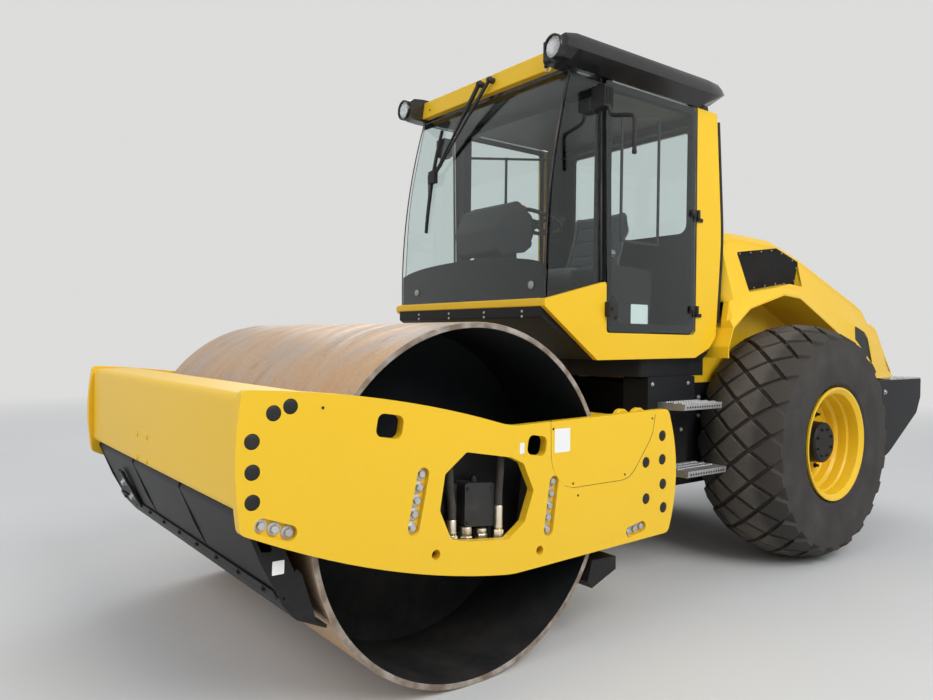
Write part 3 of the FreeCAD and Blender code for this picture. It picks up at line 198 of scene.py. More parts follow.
def rolled_steel(name):
    """Drum: rusted and polished in bands round its face; inside, near-black painted shade with random tone,
    paler brown towards the bottom.
    """
    m = Material(name, (0.3, 0.2, 0.13), 0.5, Specular_IOR_Level=0.12)
    radius, flat, y = around(m, drum_x, drum_z)
    unit = m.node("VectorMath", {"operation": "NORMALIZE"}, i0=flat).outputs[0]
    unit = m.node("SeparateXYZ", Vector=unit).outputs
    bands = m.node("CombineXYZ", X=m.times(unit["X"], 2.4), Y=m.times(y, 11.0), Z=m.times(unit["Z"], 2.4))
    streak = m.noise(1.0, 9.0, bands.outputs[0], 0.72, distortion=0.5)
    patch = m.noise(1.6, 8.0, rough=0.66, distortion=0.5)
    fine = m.noise(95.0, 6.0, rough=0.75)
    rust = m.ramp(patch, (0.38, (0.56, 0.36, 0.205)), (0.5, (0.53, 0.37, 0.25)), (0.62, (0.46, 0.385, 0.33)))
    rolled = m.mix(m.ramp(streak, (0.45, 0.0), (0.7, 0.4)), rust, (0.62, 0.50, 0.38))
    rolled = m.mix(m.ramp(streak, (0.30, 0.55), (0.42, 0.0)), rolled, (0.25, 0.14, 0.09))
    rolled = m.mix(m.ramp(fine, (0.45, 0.0), (0.75, 0.55)), rolled, (0.27, 0.155, 0.09))
    # Inner wall: near-black colour that paints the shade inside the drum, varied at random
    inside_shade_tone = m.ramp(m.noise(2.2, 6.0, rough=0.6), (0.4, 0.0), (0.75, 0.6))
    inside = m.mix(inside_shade_tone, (0.010, 0.012, 0.014), (0.028, 0.030, 0.032))
    # Paler brown towards the bottom of the inner wall
    paler_low_inside = m.times(m.ramp(m.times(unit["Z"], -1.0), (0.55, 0.0), (0.98, 1.0)),
                      m.ramp(m.noise(5.0, 6.0, rough=0.7), (0.35, 0.1), (0.7, 0.8)))
    inside = m.mix(m.times(paler_low_inside, 0.45), inside, (0.10, 0.085, 0.07))
    outer = m.math("GREATER_THAN", radius, drum_radius - 0.002)
    rim = m.math("GREATER_THAN", radius, drum_radius - 0.0245)
    edge = m.mix(m.ramp(m.noise(14.0, 5.0), (0.4, 0.0), (0.7, 1.0)), (0.20, 0.15, 0.11), (0.42, 0.38, 0.34))
    m.surface(m.mix(outer, m.mix(rim, inside, edge), rolled),
              m.mix(outer, (0.7, 0.7, 0.7), m.ramp(streak, (0.35, 0.6), (0.65, 0.38))))
    m.feed(m.times(outer, m.ramp(streak, (0.4, 0.1), (0.65, 0.45))), m.shader.inputs["Metallic"])
    m.bump(m.plus(m.times(streak, 0.6), m.times(fine, 0.4)), 0.0012)
    return m.material


def tyre_rubber(name):
    """Rubber with dry dust on the lugs and in the grooves."""
    m = Material(name, (0.03, 0.028, 0.026), 0.75, Specular_IOR_Level=0.3)
    radius = around(m, axle_x, axle_z)[0]
    tread = m.ramp(radius, (0.62, 0.0), (0.70, 1.0))
    cloud = m.noise(4.0, 7.0, rough=0.7)
    grit = m.noise(130.0, 5.0, rough=0.8)
    dusty = m.times(m.ramp(cloud, (0.3, 0.5), (0.65, 1.0)), m.ramp(grit, (0.3, 0.45), (0.65, 1.0)))
    top = m.ramp(radius, (tyre_radius - 0.028, 0.25), (tyre_radius - 0.008, 1.0))
    lugs = m.mix(m.times(dusty, top), (0.026, 0.024, 0.022), (0.165, 0.142, 0.118))
    wall = m.mix(m.ramp(cloud, (0.4, 0.1), (0.8, 0.7)), (0.024, 0.023, 0.023), (0.105, 0.093, 0.082))
    m.surface(m.mix(tread, wall, lugs), m.ramp(cloud, (0.3, 0.62), (0.7, 0.88)))
    rings = m.math("SINE", m.times(radius, 900.0))
    rings = m.times(rings, m.ramp(radius, (0.40, 0.0), (0.41, 0.08), (0.45, 0.08), (0.455, 0.0)))
    m.bump(m.plus(m.times(grit, 0.7), rings), 0.0012)
    return m.material


def bare_metal(name, colour, roughness):
    """Brushed or machined metal with fine lines and dulled patches."""
    m = Material(name, colour, roughness, Metallic=1.0)
    spread = m.node("Mapping", Vector=m.place(), Scale=(40, 600, 40)).outputs[0]
    lines = m.noise(1.0, 3.0, spread, 0.6)
    cloud = m.noise(9.0, 6.0, rough=0.65)
    dull = tuple(c * 0.55 for c in colour)
    patches = m.ramp(cloud, (0.3, roughness - 0.08), (0.8, roughness + 0.2))
    m.surface(m.mix(m.ramp(cloud, (0.45, 0.0), (0.8, 0.8)), colour, dull),
              m.plus(m.times(lines, 0.15), patches))
    m.bump(lines, 0.00008)
    return m.material


def glass(name, tint):
    """Clear pane that lets lamps through."""
    m = Material(name, tint, 0.0, Transmission_Weight=1.0, IOR=1.36)
    m.feed(m.ramp(m.noise(6.0, 5.0, rough=0.7), (0.4, 0.0), (0.9, 0.03)), m.shader.inputs["Roughness"])
    clear = m.node("BsdfTransparent", Color=(*tint, 1)).outputs[0]
    shadow = m.node("LightPath").outputs["Is Shadow Ray"]
    m.show("Material Output", shadow, m.shader.outputs[0], clear)
    return m.material


def woven(name, colour):
    """Seat cloth with a fine basket weave."""
    m = Material(name, colour, 0.9, Sheen_Weight=0.3, Sheen_Roughness=0.5)
    across, along, over = (m.node("TexWave", {"bands_direction": way}, Vector=m.place(), Scale=180.0,
                                  Distortion=0.4).outputs["Fac"] for way in "XZY")
    weave = m.times(m.plus(across, along), over)
    lighter = tuple(c * 2.2 + 0.02 for c in colour)
    m.surface(m.mix(m.times(weave, 0.5), colour, lighter),
              m.ramp(m.noise(14.0, 5.0), (0.3, 0.82), (0.7, 0.95)))
    m.bump(weave, 0.0006)
    return m.material


def cast(name, colour):
    """Rough casting under thin black paint, with brown dust."""
    m = Material(name, colour, 0.6)
    cloud = m.noise(7.0, 6.0, rough=0.65)
    m.surface(m.mix(m.ramp(cloud, (0.5, 0.0), (0.9, 0.2)), colour, DUST),
              m.ramp(cloud, (0.3, 0.45), (0.8, 0.7)))
    m.bump(m.noise(160.0, 6.0, rough=0.7), 0.001)
    return m.material


FINISH = {name: maker(name, *values) for maker, name, *values in (
    (painted, "yellow_paint", (0.90, 0.555, 0.016), 0.40),
    (painted, "black_paint", (0.008, 0.009, 0.011), 0.45, 0.0, 0.2),
    (moulded, "dark_plastic", (0.009, 0.009, 0.010), 0.5),
    (moulded, "roof_plastic", (0.006, 0.006, 0.007), 0.14, 500.0, 0.00003, 0.03, 0.5),
    (rolled_steel, "drum_steel"),
    (bare_metal, "step_steel", (0.58, 0.59, 0.6), 0.4),
    (bare_metal, "rod_chrome", (0.8, 0.8, 0.82), 0.12),
    (tyre_rubber, "tyre_rubber"),
    (moulded, "block_rubber", (0.02, 0.02, 0.02), 0.75, 300.0, 0.0006, 0.35),
    (cast, "cast_block", (0.014, 0.014, 0.015)),
    (glass, "clear_glass", (0.80, 0.87, 0.86)),
    (glass, "lamp_glass", (0.95, 0.96, 0.96)),
    (woven, "seat_fabric", (0.02, 0.02, 0.023)),
)}
# Finishes of small pieces that stand apart from their slot's
GREY = moulded("grey_plastic", (0.24, 0.25, 0.26), 0.42, 700.0, 0.0001, 0.1)
RED = moulded("red_plastic", (0.42, 0.012, 0.010), 0.30, 700.0, 0.00008, 0.05)
PAPER = moulded("label_sheet", (0.74, 0.74, 0.72), 0.45, 500.0, 0.00003, 0.12)
PRINT = moulded("printed_border", (0.002, 0.002, 0.0025), 0.3, 1200.0, 0.00001, 0.01, 0.1)
BRASS = bare_metal("brass", (0.62, 0.50, 0.26), 0.32)
NICKEL = bare_metal("nickel_plate", (0.86, 0.80, 0.66), 0.28)


def dress(piece, slot, material=None):
    """Gives a piece its slot's material, or its own."""
    piece.data.materials.clear()
    piece.data.materials.append(material or FINISH[slot])


# CAD nodes by the width of their rounded edges, in metres
EDGES = {
    0.0010: "rear_step door_pins hood_pins hood_grilles steer_rod_left steer_rod_right",
    0.0015: "steps cab_rails wiper",
    0.0020: "pivot_pin rim_left rim_right door_fittings steer_barrel_left steer_barrel_right",
    0.0030: "front_scraper rear_scraper drum_carriers deck fenders hub_left hub_right",
    0.0040: "drum_motors drum chassis cab_floor cab_posts cab_rear roof_band hood",
    0.0050: "pivot_yoke cab_side_left cab_side_right",
    0.0060: "side_plate_left side_plate_right front_crossbar rear_crossbar rear_axle tanks seat_base",
    0.0080: "rubber_blocks engine_block",
    0.0100: "counterweight cab_roof tyre_left tyre_right",
    0.0120: "console",
    0.0400: "dash_pod",
}


# Mesh forms

class Form:
    """Vertices and faces of a piece, in metres in the machine's frame."""

    def __init__(self):
        self.points = []
        self.faces = []

    def loft(self, rings, caps=True):
        """Skin through rings of as many points, with caps on the first and last."""
        start, count = len(self.points), len(rings[0])
        faces = []
        for r in range(len(rings) - 1):
            for i in range(count):
                j = (i + 1) % count
                faces.append((r * count + i, r * count + j, (r + 1) * count + j, (r + 1) * count + i))
        points = [Vector(p) for ring in rings for p in ring]
        if caps:
            faces += [tuple(reversed(range(count))), tuple(range(len(points) - count, len(points)))]
        self.points += points
        self.faces += [[start + i for i in face] for face in faces]
        return self

    def turned(self, profile, at, along, sides=32, caps=True, phase=0.0):
        """Form turned round an axis, through (radius, height) along it."""
        at, along = Vector(at), Vector(along).normalized()
        across = (along.cross(UP) if abs(along.z) < 0.9 else LEFT).normalized()
        return self.loft([ring(at + along * height, across, along.cross(across), radius, sides, phase)
                          for radius, height in profile], caps=caps)

    def prism(self, outline, place):
        """Outline pushed from low to high by place(u, v, 0 or 1)."""
        return self.loft([[place(u, v, end) for u, v in outline] for end in (0, 1)])

    def box(self, low, high):
        corners = [(low[0], low[1]), (high[0], low[1]), (high[0], high[1]), (low[0], high[1])]
        return self.prism(corners, lambda u, v, end: (u, v, (low[2], high[2])[end]))

    def tube(self, path, radius, sides=12):
        """Round bar along a path, with a radius for all of it or one for each point."""
        path = [Vector(p) for p in path]
        radii = radius if isinstance(radius, (list, tuple)) else [radius] * len(path)
        rings, across = [], None
        for i, point in enumerate(path):
            along = (path[min(i + 1, len(path) - 1)] - path[max(i - 1, 0)]).normalized()
            if across is None:
                across = along.orthogonal()
            across = (across - along * across.dot(along)).normalized()
            rings.append(ring(point, across, along.cross(across), radii[i], sides))
        return self.loft(rings)

    def twin(self):
        """Adds the reflection to the machine's right."""
        count = len(self.points)
        self.points += [Vector((p.x, -p.y, p.z)) for p in self.points]
        self.faces += [[count + i for i in reversed(face)] for face in self.faces]
        return self

    def piece(self, name, slot, body="rear_frame", smooth=35.0, bevel=0.0, material=None):
        """The piece, smooth up to an angle, in its slot's finish and riding on a body."""
        mesh = bpy.data.meshes.new(name)
        mesh.from_pydata(self.points, [], self.faces)
        work = bmesh.new()
        work.from_mesh(mesh)
        bmesh.ops.remove_doubles(work, verts=work.verts, dist=1e-6)
        bmesh.ops.recalc_face_normals(work, faces=work.faces)
        work.to_mesh(mesh)
        work.free()
        made = bpy.data.objects.new(name, mesh)
        bpy.context.scene.collection.objects.link(made)
        soften(made, smooth, bevel)
        dress(made, slot, material)
        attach(made, body)
        return made


def forms(count):
    return [Form() for _ in range(count)]


def ring(centre, across, other, radius, sides, phase=0.0):
    """Points round a centre, in the plane of two directions."""
    angles = [phase + 2 * math.pi * k / sides for k in range(sides)]
    return [centre + (across * math.cos(a) + other * math.sin(a)) * radius for a in angles]


def spanned(at, across, up, lift):
    """Place of an outline in the plane of two directions from a point, for a prism as thick as lift."""
    at, across, up, lift = (Vector(v) for v in (at, across, up, lift))
    return lambda u, v, end: at + across * u + up * v + lift * end


def soften(piece, smooth=35.0, bevel=0.0, segments=2):
    """Smooth shading up to an angle, and rounded edges of a width."""
    mesh = piece.data
    mesh.polygons.foreach_set("use_smooth", [True] * len(mesh.polygons))
    mesh.set_sharp_from_angle(angle=math.radians(smooth))
    if bevel:
        made = piece.modifiers.new("edges", "BEVEL")
        made.width = bevel
        made.segments = segments
        made.limit_method = "ANGLE"
        made.angle_limit = math.radians(32)
        made.harden_normals = True
        piece.modifiers.new("flat", "WEIGHTED_NORMAL").keep_sharp = True


def rounded_edges(node, width):
    """Rounds a CAD node's sharp edges, after joining its split corners."""
    weld = NODE[node].modifiers.new("weld", "WELD")
    weld.merge_threshold = 0.00002
    soften(NODE[node], 28.0, width, 4 if width > 0.03 else 2)


def arc(centre, radius, start, stop, steps):
    """Points of an arc in the plane, in degrees."""
    angles = [math.radians(start + (stop - start) * k / steps) for k in range(steps + 1)]
    return [(centre[0] + radius * math.cos(a), centre[1] + radius * math.sin(a)) for a in angles]


def slab(width, height, radius, steps=6):
    """Outline of a rectangle round the middle with rounded corners."""
    u, v = width / 2 - radius, height / 2 - radius
    points = []
    for start, (su, sv) in zip((0, 90, 180, 270), ((1, 1), (-1, 1), (-1, -1), (1, -1))):
        points += arc((u * su, v * sv), radius, start, start + 90, steps)
    return points


def rounded(corners, steps=6):
    """Outline through corners (u, v, radius) with round bends."""
    points = []
    for i, (u, v, radius) in enumerate(corners):
        here = Vector((u, v))
        back = (Vector(corners[i - 1][:2]) - here).normalized()
        ahead = (Vector(corners[(i + 1) % len(corners)][:2]) - here).normalized()
        half = back.angle(ahead) / 2
        middle = here + (back + ahead).normalized() * radius / math.sin(half)
        first = here + back * radius / math.tan(half)
        last = here + ahead * radius / math.tan(half)
        for k in range(steps + 1):
            ray = (first - middle).lerp(last - middle, k / steps)
            point = middle + ray.normalized() * radius
            points.append((point.x, point.y))
    return points


def bolt(form, at, along, size, phase=0.4):
    """Hex bolt head on its washer, for a head as wide as size across its flats."""
    form.turned([(size * 0.62, 0), (size * 0.66, size * 0.03), (size * 0.66, size * 0.1),
                 (size * 0.6, size * 0.12)], at, along, 20)
    reach = size * 0.43
    height = size * 0.12
    form.turned([(reach, height), (reach, height + size * 0.30), (reach * 0.84, height + size * 0.38),
                 (reach * 0.4, height + size * 0.38)], at, along, 6, phase=phase)


def at_drum(x, y, z):
    """Point measured from the drum's axle."""
    return Vector((drum_x + x, y, drum_z + z))


def at_axle(x, y, z):
    """Point measured from the rear axle and the ground."""
    return Vector((axle_x + x, y, z))


def widthwise(half):
    """Place of an outline in x and z from the rear axle, for a prism of a half width."""
    return lambda u, v, end: at_axle(u, half * (2 * end - 1), v)


# Front frame's details

# Plugged holes in a side plate, and its sunk rows of bolts: x and z from the drum's axle
PLUGS = [(0.913, 0.424), (0.853, 0.444), (0.987, 0.334), (0.985, 0.233), (0.984, 0.134), (-1.130, 0.209),
         (-1.132, 0.091), (-1.007, 0.087), (-1.139, -0.032), (-1.011, -0.091), (-1.145, -0.150)]
BOLT_ROWS = [((0.308, 0.159), (0.349, -0.041), 5), ((-0.386, 0.058), (-0.355, -0.149), 5),
             ((0.950, 0.051), (0.852, 0.015), 3), ((-0.894, -0.237), (-0.984, -0.223), 3)]
# Cover let into the plate: its seam and its screws
SEAM = [(-0.361, 0.330), (-0.366, 0.160), (-0.381, 0.108), (-0.414, 0.064), (-0.452, 0.034), (-0.500, 0.019),
        (-0.840, 0.019), (-0.885, 0.030), (-0.925, 0.062), (-1.030, 0.190), (-1.055, 0.232), (-1.072, 0.318)]
SCREWS = [(-0.376, 0.290), (-0.503, 0.038), (-0.852, 0.044), (-1.049, 0.300), (-0.536, -0.019),
          (0.733, 0.434)]
# Blank label sheets on the left plate: x, z, width, height
LABELS = [(-0.433, 0.237, 0.094, 0.105), (-0.195, 0.220, 0.026, 0.046)]
sheet_thick = 0.0006
hole_depth = 0.022
frame_bolt = 0.036


def plate_fittings():
    """Plugs, bolts, cover seam and blank labels on the side plates."""
    caps, bolts, seam, screws, labels = forms(5)
    for x, z in PLUGS:
        caps.turned([(0.0263, -0.018), (0.0263, -0.0025), (0.0240, -0.0008), (0.0130, 0.0002)],
                    at_drum(x, plate_y, z), LEFT, 28)
    for (xa, za), (xb, zb), count in BOLT_ROWS:
        for k in range(count):
            t = k / (count - 1)
            at = at_drum(xa + (xb - xa) * t, plate_y - hole_depth, za + (zb - za) * t)
            bolt(bolts, at, LEFT, frame_bolt, phase=random.uniform(0, 1))
    half, low, high = 0.0011, plate_y - 0.001, plate_y + 0.0003
    seam.loft([[at_drum(x + s * half, y, z + s * half) for s,
                y in ((-1, low), (1, low), (1, high), (-1, high))]
               for x, z in SEAM])
    for x, z in SCREWS:
        screws.turned([(0.0055, -0.002), (0.0055, 0.0008), (0.0038, 0.0012), (0.0030, 0.0002)],
                      at_drum(x, plate_y, z), LEFT, 16)
    for x, z, wide, high in LABELS:
        labels.prism(slab(wide, high, 0.004), spanned(at_drum(x, plate_y, z), AHEAD, UP, LEFT * sheet_thick))
    caps.twin().piece("hole_plugs", "dark_plastic", "front_frame")
    bolts.twin().piece("plate_bolts", "step_steel", "front_frame")
    seam.twin().piece("cover_seams", "black_paint", "front_frame")
    screws.twin().piece("cover_screws", "black_paint", "front_frame")
    labels.piece("blank_labels", "roof_plastic", "front_frame", material=PAPER)


def crossbar_fittings():
    """Buttons on the front beam, and the lifting eyes inside the plates."""
    buttons, eyes = forms(2)
    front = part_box("front_crossbar")[1].x
    for y in (-0.165, -0.008):
        for z in (0.8678, 0.9755):
            buttons.turned([(0.011, -0.001), (0.011, 0.003), (0.007, 0.006)], (front, y, z), AHEAD, 20)
    buttons.piece("beam_buttons", "yellow_paint", "front_frame")
    outline = [(-0.055, -0.005), (0.055, -0.005)] + arc((0, 0.0), 0.055, 8, 172, 16)
    for x in (-1.055, -0.930):
        eyes.prism(outline, spanned(at_drum(x, plate_y - 0.085, 0.290), AHEAD, UP, LEFT * -0.03))
    eyes.twin().piece("lifting_eyes", "yellow_paint", "front_frame", bevel=0.004)


# Front scraper's sheet below the beam, from the drum's axle
SHEET_TOP = Vector((1.003, 0, 0.050))
SHEET_FOLD = Vector((0.848, 0, -0.250))


def scraper_fittings():
    """Wear strip along the scraper's sheet, a clamp pad, their bolts and a blank label."""
    strip, bolts, pads, studs, label = forms(5)
    run = (SHEET_TOP - SHEET_FOLD).normalized()
    out = Vector((run.z, 0, -run.x))
    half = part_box("front_scraper")[1].y
    pad_y, pad_thick, strip_thick = -0.66, 0.014, 0.006
    fold = at_drum(*SHEET_FOLD)
    for k, reach in enumerate((0.110, 0.200)):
        bolt(bolts, fold + LEFT * pad_y + run * reach + out * pad_thick, out, frame_bolt, phase=0.3 * k)
    at = fold + LEFT * pad_y + run * 0.155
    pads.prism(slab(0.085, 0.22, 0.008), spanned(at, LEFT, run, out * pad_thick))
    at = fold + run * 0.045
    strip.prism(slab(2 * half - 0.01, 0.036, 0.003), spanned(at, LEFT, run, out * strip_thick))
    for k in range(9):
        y = -half + 0.1 + (2 * half - 0.2) * k / 8
        bolt(studs, at + LEFT * y + out * strip_thick, out, 0.019, phase=0.2 * k)
    studs.piece("strip_bolts", "black_paint", "front_frame")
    strip.piece("scraper_strip", "black_paint", "front_frame", bevel=0.0015)
    pads.piece("scraper_pads", "black_paint", "front_frame", bevel=0.002)
    bolts.piece("scraper_bolts", "step_steel", "front_frame")
    label.prism(slab(0.044, 0.048, 0.003),
                spanned((drum_x + 0.864, half, 0.634), AHEAD, (-0.03, 0, 1), LEFT * sheet_thick))
    label.piece("scraper_label", "roof_plastic", "front_frame", material=PAPER)


# Hoses at the drum's drive: x, z of the union's foot and of the ferrule's top, radius, y from the middle
HOSES = [(0.096, -0.160, -0.062, 0.020, 0.02), (-0.128, -0.160, -0.024, 0.018, 0.052)]
# Closed unions beside them: x, z of foot and top, radius
UNIONS = [(0.028, -0.170, -0.098, 0.022), (-0.052, -0.170, -0.115, 0.022)]


def drive_fittings():
    """Hoses from unions under the motor up to elbows that pass into the side plate."""
    hoses, ferrules, nuts, caps = forms(4)
    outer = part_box("drum_motors")[1].y
    middle = outer - 0.0425
    ends = [(x, middle + 0.03, foot, top, radius) for x, foot, top, radius in UNIONS]
    for x, foot, top, radius, out in HOSES:
        y = middle + out
        ferrules.turned([(radius, foot + 0.05), (radius, top - 0.004), (radius * 0.9, top)],
                        at_drum(x, y, 0), UP, 24)
        turn, rise = (x + 0.02, 0.295) if x > 0 else (x - 0.01, 0.250)
        path = [(x, top - 0.01), (x, top + 0.06), ((x + turn) / 2, top + 0.12), (turn, rise - 0.08),
                (turn, rise - 0.06)]
        hoses.tube([at_drum(px, y, pz) for px, pz in path], radius * 0.86, 16)
        ferrules.turned([(radius, rise - 0.065), (radius, rise - 0.030), (radius * 0.8, rise - 0.026)],
                        at_drum(turn, y, 0), UP, 24)
        reach = plate_inside - y
        elbow = [(0, -0.030), (0, -0.012), (reach * 0.25, -0.002), (reach * 0.5, 0), (reach, 0)]
        ferrules.tube([at_drum(turn, y + across, rise + up) for across, up in elbow], radius * 0.62, 16)
        nuts.turned([(radius * 1.2, -0.018), (radius * 1.2, 0.0)], at_drum(turn, plate_inside, rise), LEFT, 6)
        ends.append((x, y, foot, foot + 0.054, radius))
    for x, y, foot, top, radius in ends:
        at = at_drum(x, y, 0)
        nuts.turned([(radius * 1.25, foot), (radius * 1.25, foot + 0.030), (radius * 1.1, foot + 0.034)],
                    at, UP, 6, phase=x * 20)
        nuts.turned([(radius * 0.95, foot + 0.034), (radius * 1.05, foot + 0.040),
                     (radius * 1.05, top - 0.006),
                     (radius * 0.95, top)], at, UP, 24)
    caps.turned([(0.016, 0.07), (0.016, 0.095), (0.011, 0.104), (0.004, 0.106)], at_drum(-0.03, middle, 0),
                UP, 20)
    for x, z in ((0.030, 0.060), (-0.100, 0.050), (0.030, -0.080), (-0.125, -0.090)):
        caps.turned([(0.008, -0.002), (0.008, 0.004), (0.005, 0.0045)], at_drum(x, outer, z), LEFT, 6)
    hoses.twin().piece("drive_hoses", "block_rubber", "front_frame")
    ferrules.twin().piece("hose_ferrules", "step_steel", "front_frame", material=NICKEL)
    nuts.twin().piece("hose_unions", "step_steel", "front_frame", material=NICKEL)
    caps.twin().piece("drive_caps", "dark_plastic", "front_frame")


# Cab's details

# Front glass: an arc through x from the rear axle and z from the ground, its lowest and highest line
ARC = [(2.220, 1.6103), (2.185, 2.302), (2.066, 2.8447)]
glass_low, glass_top = 1.612, 2.842
glass_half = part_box("windshield")[1].y
# Print on the panes' inner faces: its two faces before the front glass, and its thickness at the sides
INK = (-0.0084, -0.0092)
ink_thick = 0.0006
pane_thick = 0.0084
pane_outer = cab_half - 0.0303
door_inner = cab_half - 0.0084


def circle(points):
    """Centre and radius of the circle through three points."""
    (ax, az), (bx, bz), (cx, cz) = points
    d = 2 * (ax * (bz - cz) + bx * (cz - az) + cx * (az - bz))
    a2, b2, c2 = ax * ax + az * az, bx * bx + bz * bz, cx * cx + cz * cz
    x = (a2 * (bz - cz) + b2 * (cz - az) + c2 * (az - bz)) / d
    z = (a2 * (cx - bx) + b2 * (ax - cx) + c2 * (bx - ax)) / d
    return (x, z), math.hypot(ax - x, az - z)


def on_glass(y, z, before):
    """Point a distance before the front glass."""
    (cx, cz), radius = circle(ARC)
    return at_axle(cx + math.sqrt((radius + before) ** 2 - (z - cz) ** 2), y, z)


def printed(y, levels):
    """Section of the front glass's print at a y, through levels."""
    return [on_glass(y, z, INK[0]) for z in levels] + [on_glass(y, z, INK[1]) for z in reversed(levels)]


def glass_fittings():
    """Printed borders on the front glass, its fixings and the seals between the panes."""
    border, seals, studs = forms(3)
    half, columns = glass_half - 0.003, 24
    rings = []
    for k in range(columns + 1):
        y = half * (2 * k / columns - 1)
        top = 1.884 - 0.043 * (y / glass_half) ** 2 - 0.02 * abs(y / glass_half) ** 8
        rings.append(printed(y, [glass_low + (top - glass_low) * s / 4 for s in range(5)]))
    border.loft(rings)
    border.loft([printed(y, (2.800, glass_top)) for y in (-half, half)])
    border.piece("front_glass_border", "dark_plastic", material=PRINT)
    for side in (-1, 1):
        levels = [glass_low + (glass_top - glass_low) * k / 16 for k in range(17)]
        seals.tube([on_glass(side * (glass_half + 0.0015), z, -0.002) for z in levels], 0.0050, 8)
        y = side * (pane_outer - 0.002)
        seals.tube([at_axle(1.797, y, 1.76), at_axle(1.819, y, glass_top)], 0.006, 8)
    seals.piece("pane_seals", "block_rubber")
    for y, z in ((-0.497, 1.717), (0.569, 1.715)):
        studs.turned([(0.021, -0.001), (0.021, 0.003), (0.017, 0.007), (0.008, 0.009)], on_glass(y, z, 0),
                     (1, 0, 0.03), 24)
    studs.piece("glass_studs", "rod_chrome", material=GREY)


# Print round the door's pane and the right one, outer and inner line: x from the axle, z, bend
DOOR = [(1.812, 2.836, 0.022), (1.774, 1.480, 0.045), (0.997, 1.477, 0.045), (1.009, 2.836, 0.022)]
DOOR_CLEAR = [(1.768, 2.800, 0.030), (1.738, 1.528, 0.060), (1.030, 1.524, 0.060), (1.040, 2.800, 0.030)]
RIGHT_CLEAR = [(1.700, 2.800, 0.030), (1.690, 1.528, 0.060), (1.010, 1.524, 0.060), (1.020, 2.800, 0.030)]
RIGHT = [(1.812, 2.836, 0.022), (1.774, 1.456, 0.045), (0.974, 1.456, 0.045), (0.984, 2.836, 0.022)]
# Sliding window's frame in each side: x from the rear axle and z from the ground of its bars' ends
SLIDER_LEFT = [((1.347, 1.985), (1.347, 2.712)), ((1.347, 2.712), (1.667, 2.668)),
               ((1.667, 2.668), (1.667, 1.985)), ((1.667, 1.985), (1.347, 1.985))]
SLIDER_RIGHT = [((0.975, 2.778), (1.705, 2.676)), ((1.355, 2.727), (1.355, 1.985)),
                ((1.355, 1.985), (0.975, 1.985))]


def frame_of(outer, inner, y, thick):
    """Flat upright frame between two outlines."""
    place = spanned(at_axle(0, y, 0), AHEAD, UP, LEFT * thick)
    rings = [[place(*a, 0), place(*b, 0), place(*b, 1), place(*a, 1)]
             for a, b in zip(rounded(outer), rounded(inner))]
    return Form().loft(rings + [rings[0]], caps=False)


def bars(ends, y, width, inward):
    """Bars between ends on a pane's inner face, 12 mm deep."""
    form = Form()
    for (xa, za), (xb, zb) in ends:
        run = Vector((xb - xa, 0, zb - za)).normalized()
        side = Vector((run.z, 0, -run.x)) * width / 2
        a, b = at_axle(xa, y, za) - run * width / 2, at_axle(xb, y, zb) + run * width / 2
        deep = LEFT * inward * 0.012
        form.loft([[end + side, end - side, end - side + deep, end + side + deep] for end in (a, b)])
    return form


def door_details():
    """Printed borders of the side panes, sliding windows, seal, caps, a blank sheet and the handle."""
    seal, caps, sheet, handle = forms(4)
    right_inner = -pane_outer + pane_thick
    frame_of(DOOR, DOOR_CLEAR, door_inner, -ink_thick).piece("door_border", "dark_plastic", "door_left",
                                                             material=PRINT)
    frame_of(RIGHT, RIGHT_CLEAR, right_inner, ink_thick).piece("right_pane_border", "dark_plastic",
                                                               material=PRINT)
    bars(SLIDER_LEFT, door_inner, 0.014, -1).piece("slider_left", "dark_plastic", "door_left", bevel=0.002)
    bars(SLIDER_RIGHT, right_inner, 0.016, 1).piece("slider_right", "dark_plastic", bevel=0.002)
    seal.tube([at_axle(x, cab_half - 0.004, z) for x, z in ((0.9895, 1.492), (0.9905, 2.0), (1.0010, 2.838))],
              0.0055, 8)
    seal.piece("door_seal", "block_rubber")
    for z in (1.6225, 2.2025):
        caps.turned([(0.019, 0.0), (0.019, 0.004), (0.014, 0.009), (0.005, 0.011)],
                    at_axle(1.030, cab_half + 0.009, z), LEFT, 24)
    caps.turned([(0.0085, 0.0), (0.0085, 0.012), (0.0065, 0.014)], at_axle(1.780, cab_half + 0.035, 1.602),
                LEFT, 20)
    caps.turned([(0.010, -0.001), (0.010, 0.005), (0.006, 0.007)], at_axle(1.7020, cab_half, 1.560), LEFT, 20)
    caps.piece("door_caps", "dark_plastic", "door_left")
    sheet.prism(slab(0.146, 0.112, 0.003),
                spanned(at_axle(1.505, door_inner - 0.0005, 1.580), AHEAD, UP, LEFT * -0.0005))
    sheet.piece("door_label", "roof_plastic", "door_left", material=PAPER)
    handle.box(at_axle(1.735, cab_half - 0.060, 1.575), at_axle(1.765, cab_half - 0.009, 1.625))
    grip = ((1.750, 0.055, 1.60), (1.70, 0.065, 1.60), (1.63, 0.068, 1.605))
    handle.tube([at_axle(x, cab_half - inward, z) for x, inward, z in grip], [0.010, 0.009, 0.008], 12)
    handle.piece("door_handle", "dark_plastic", "door_left", bevel=0.003)


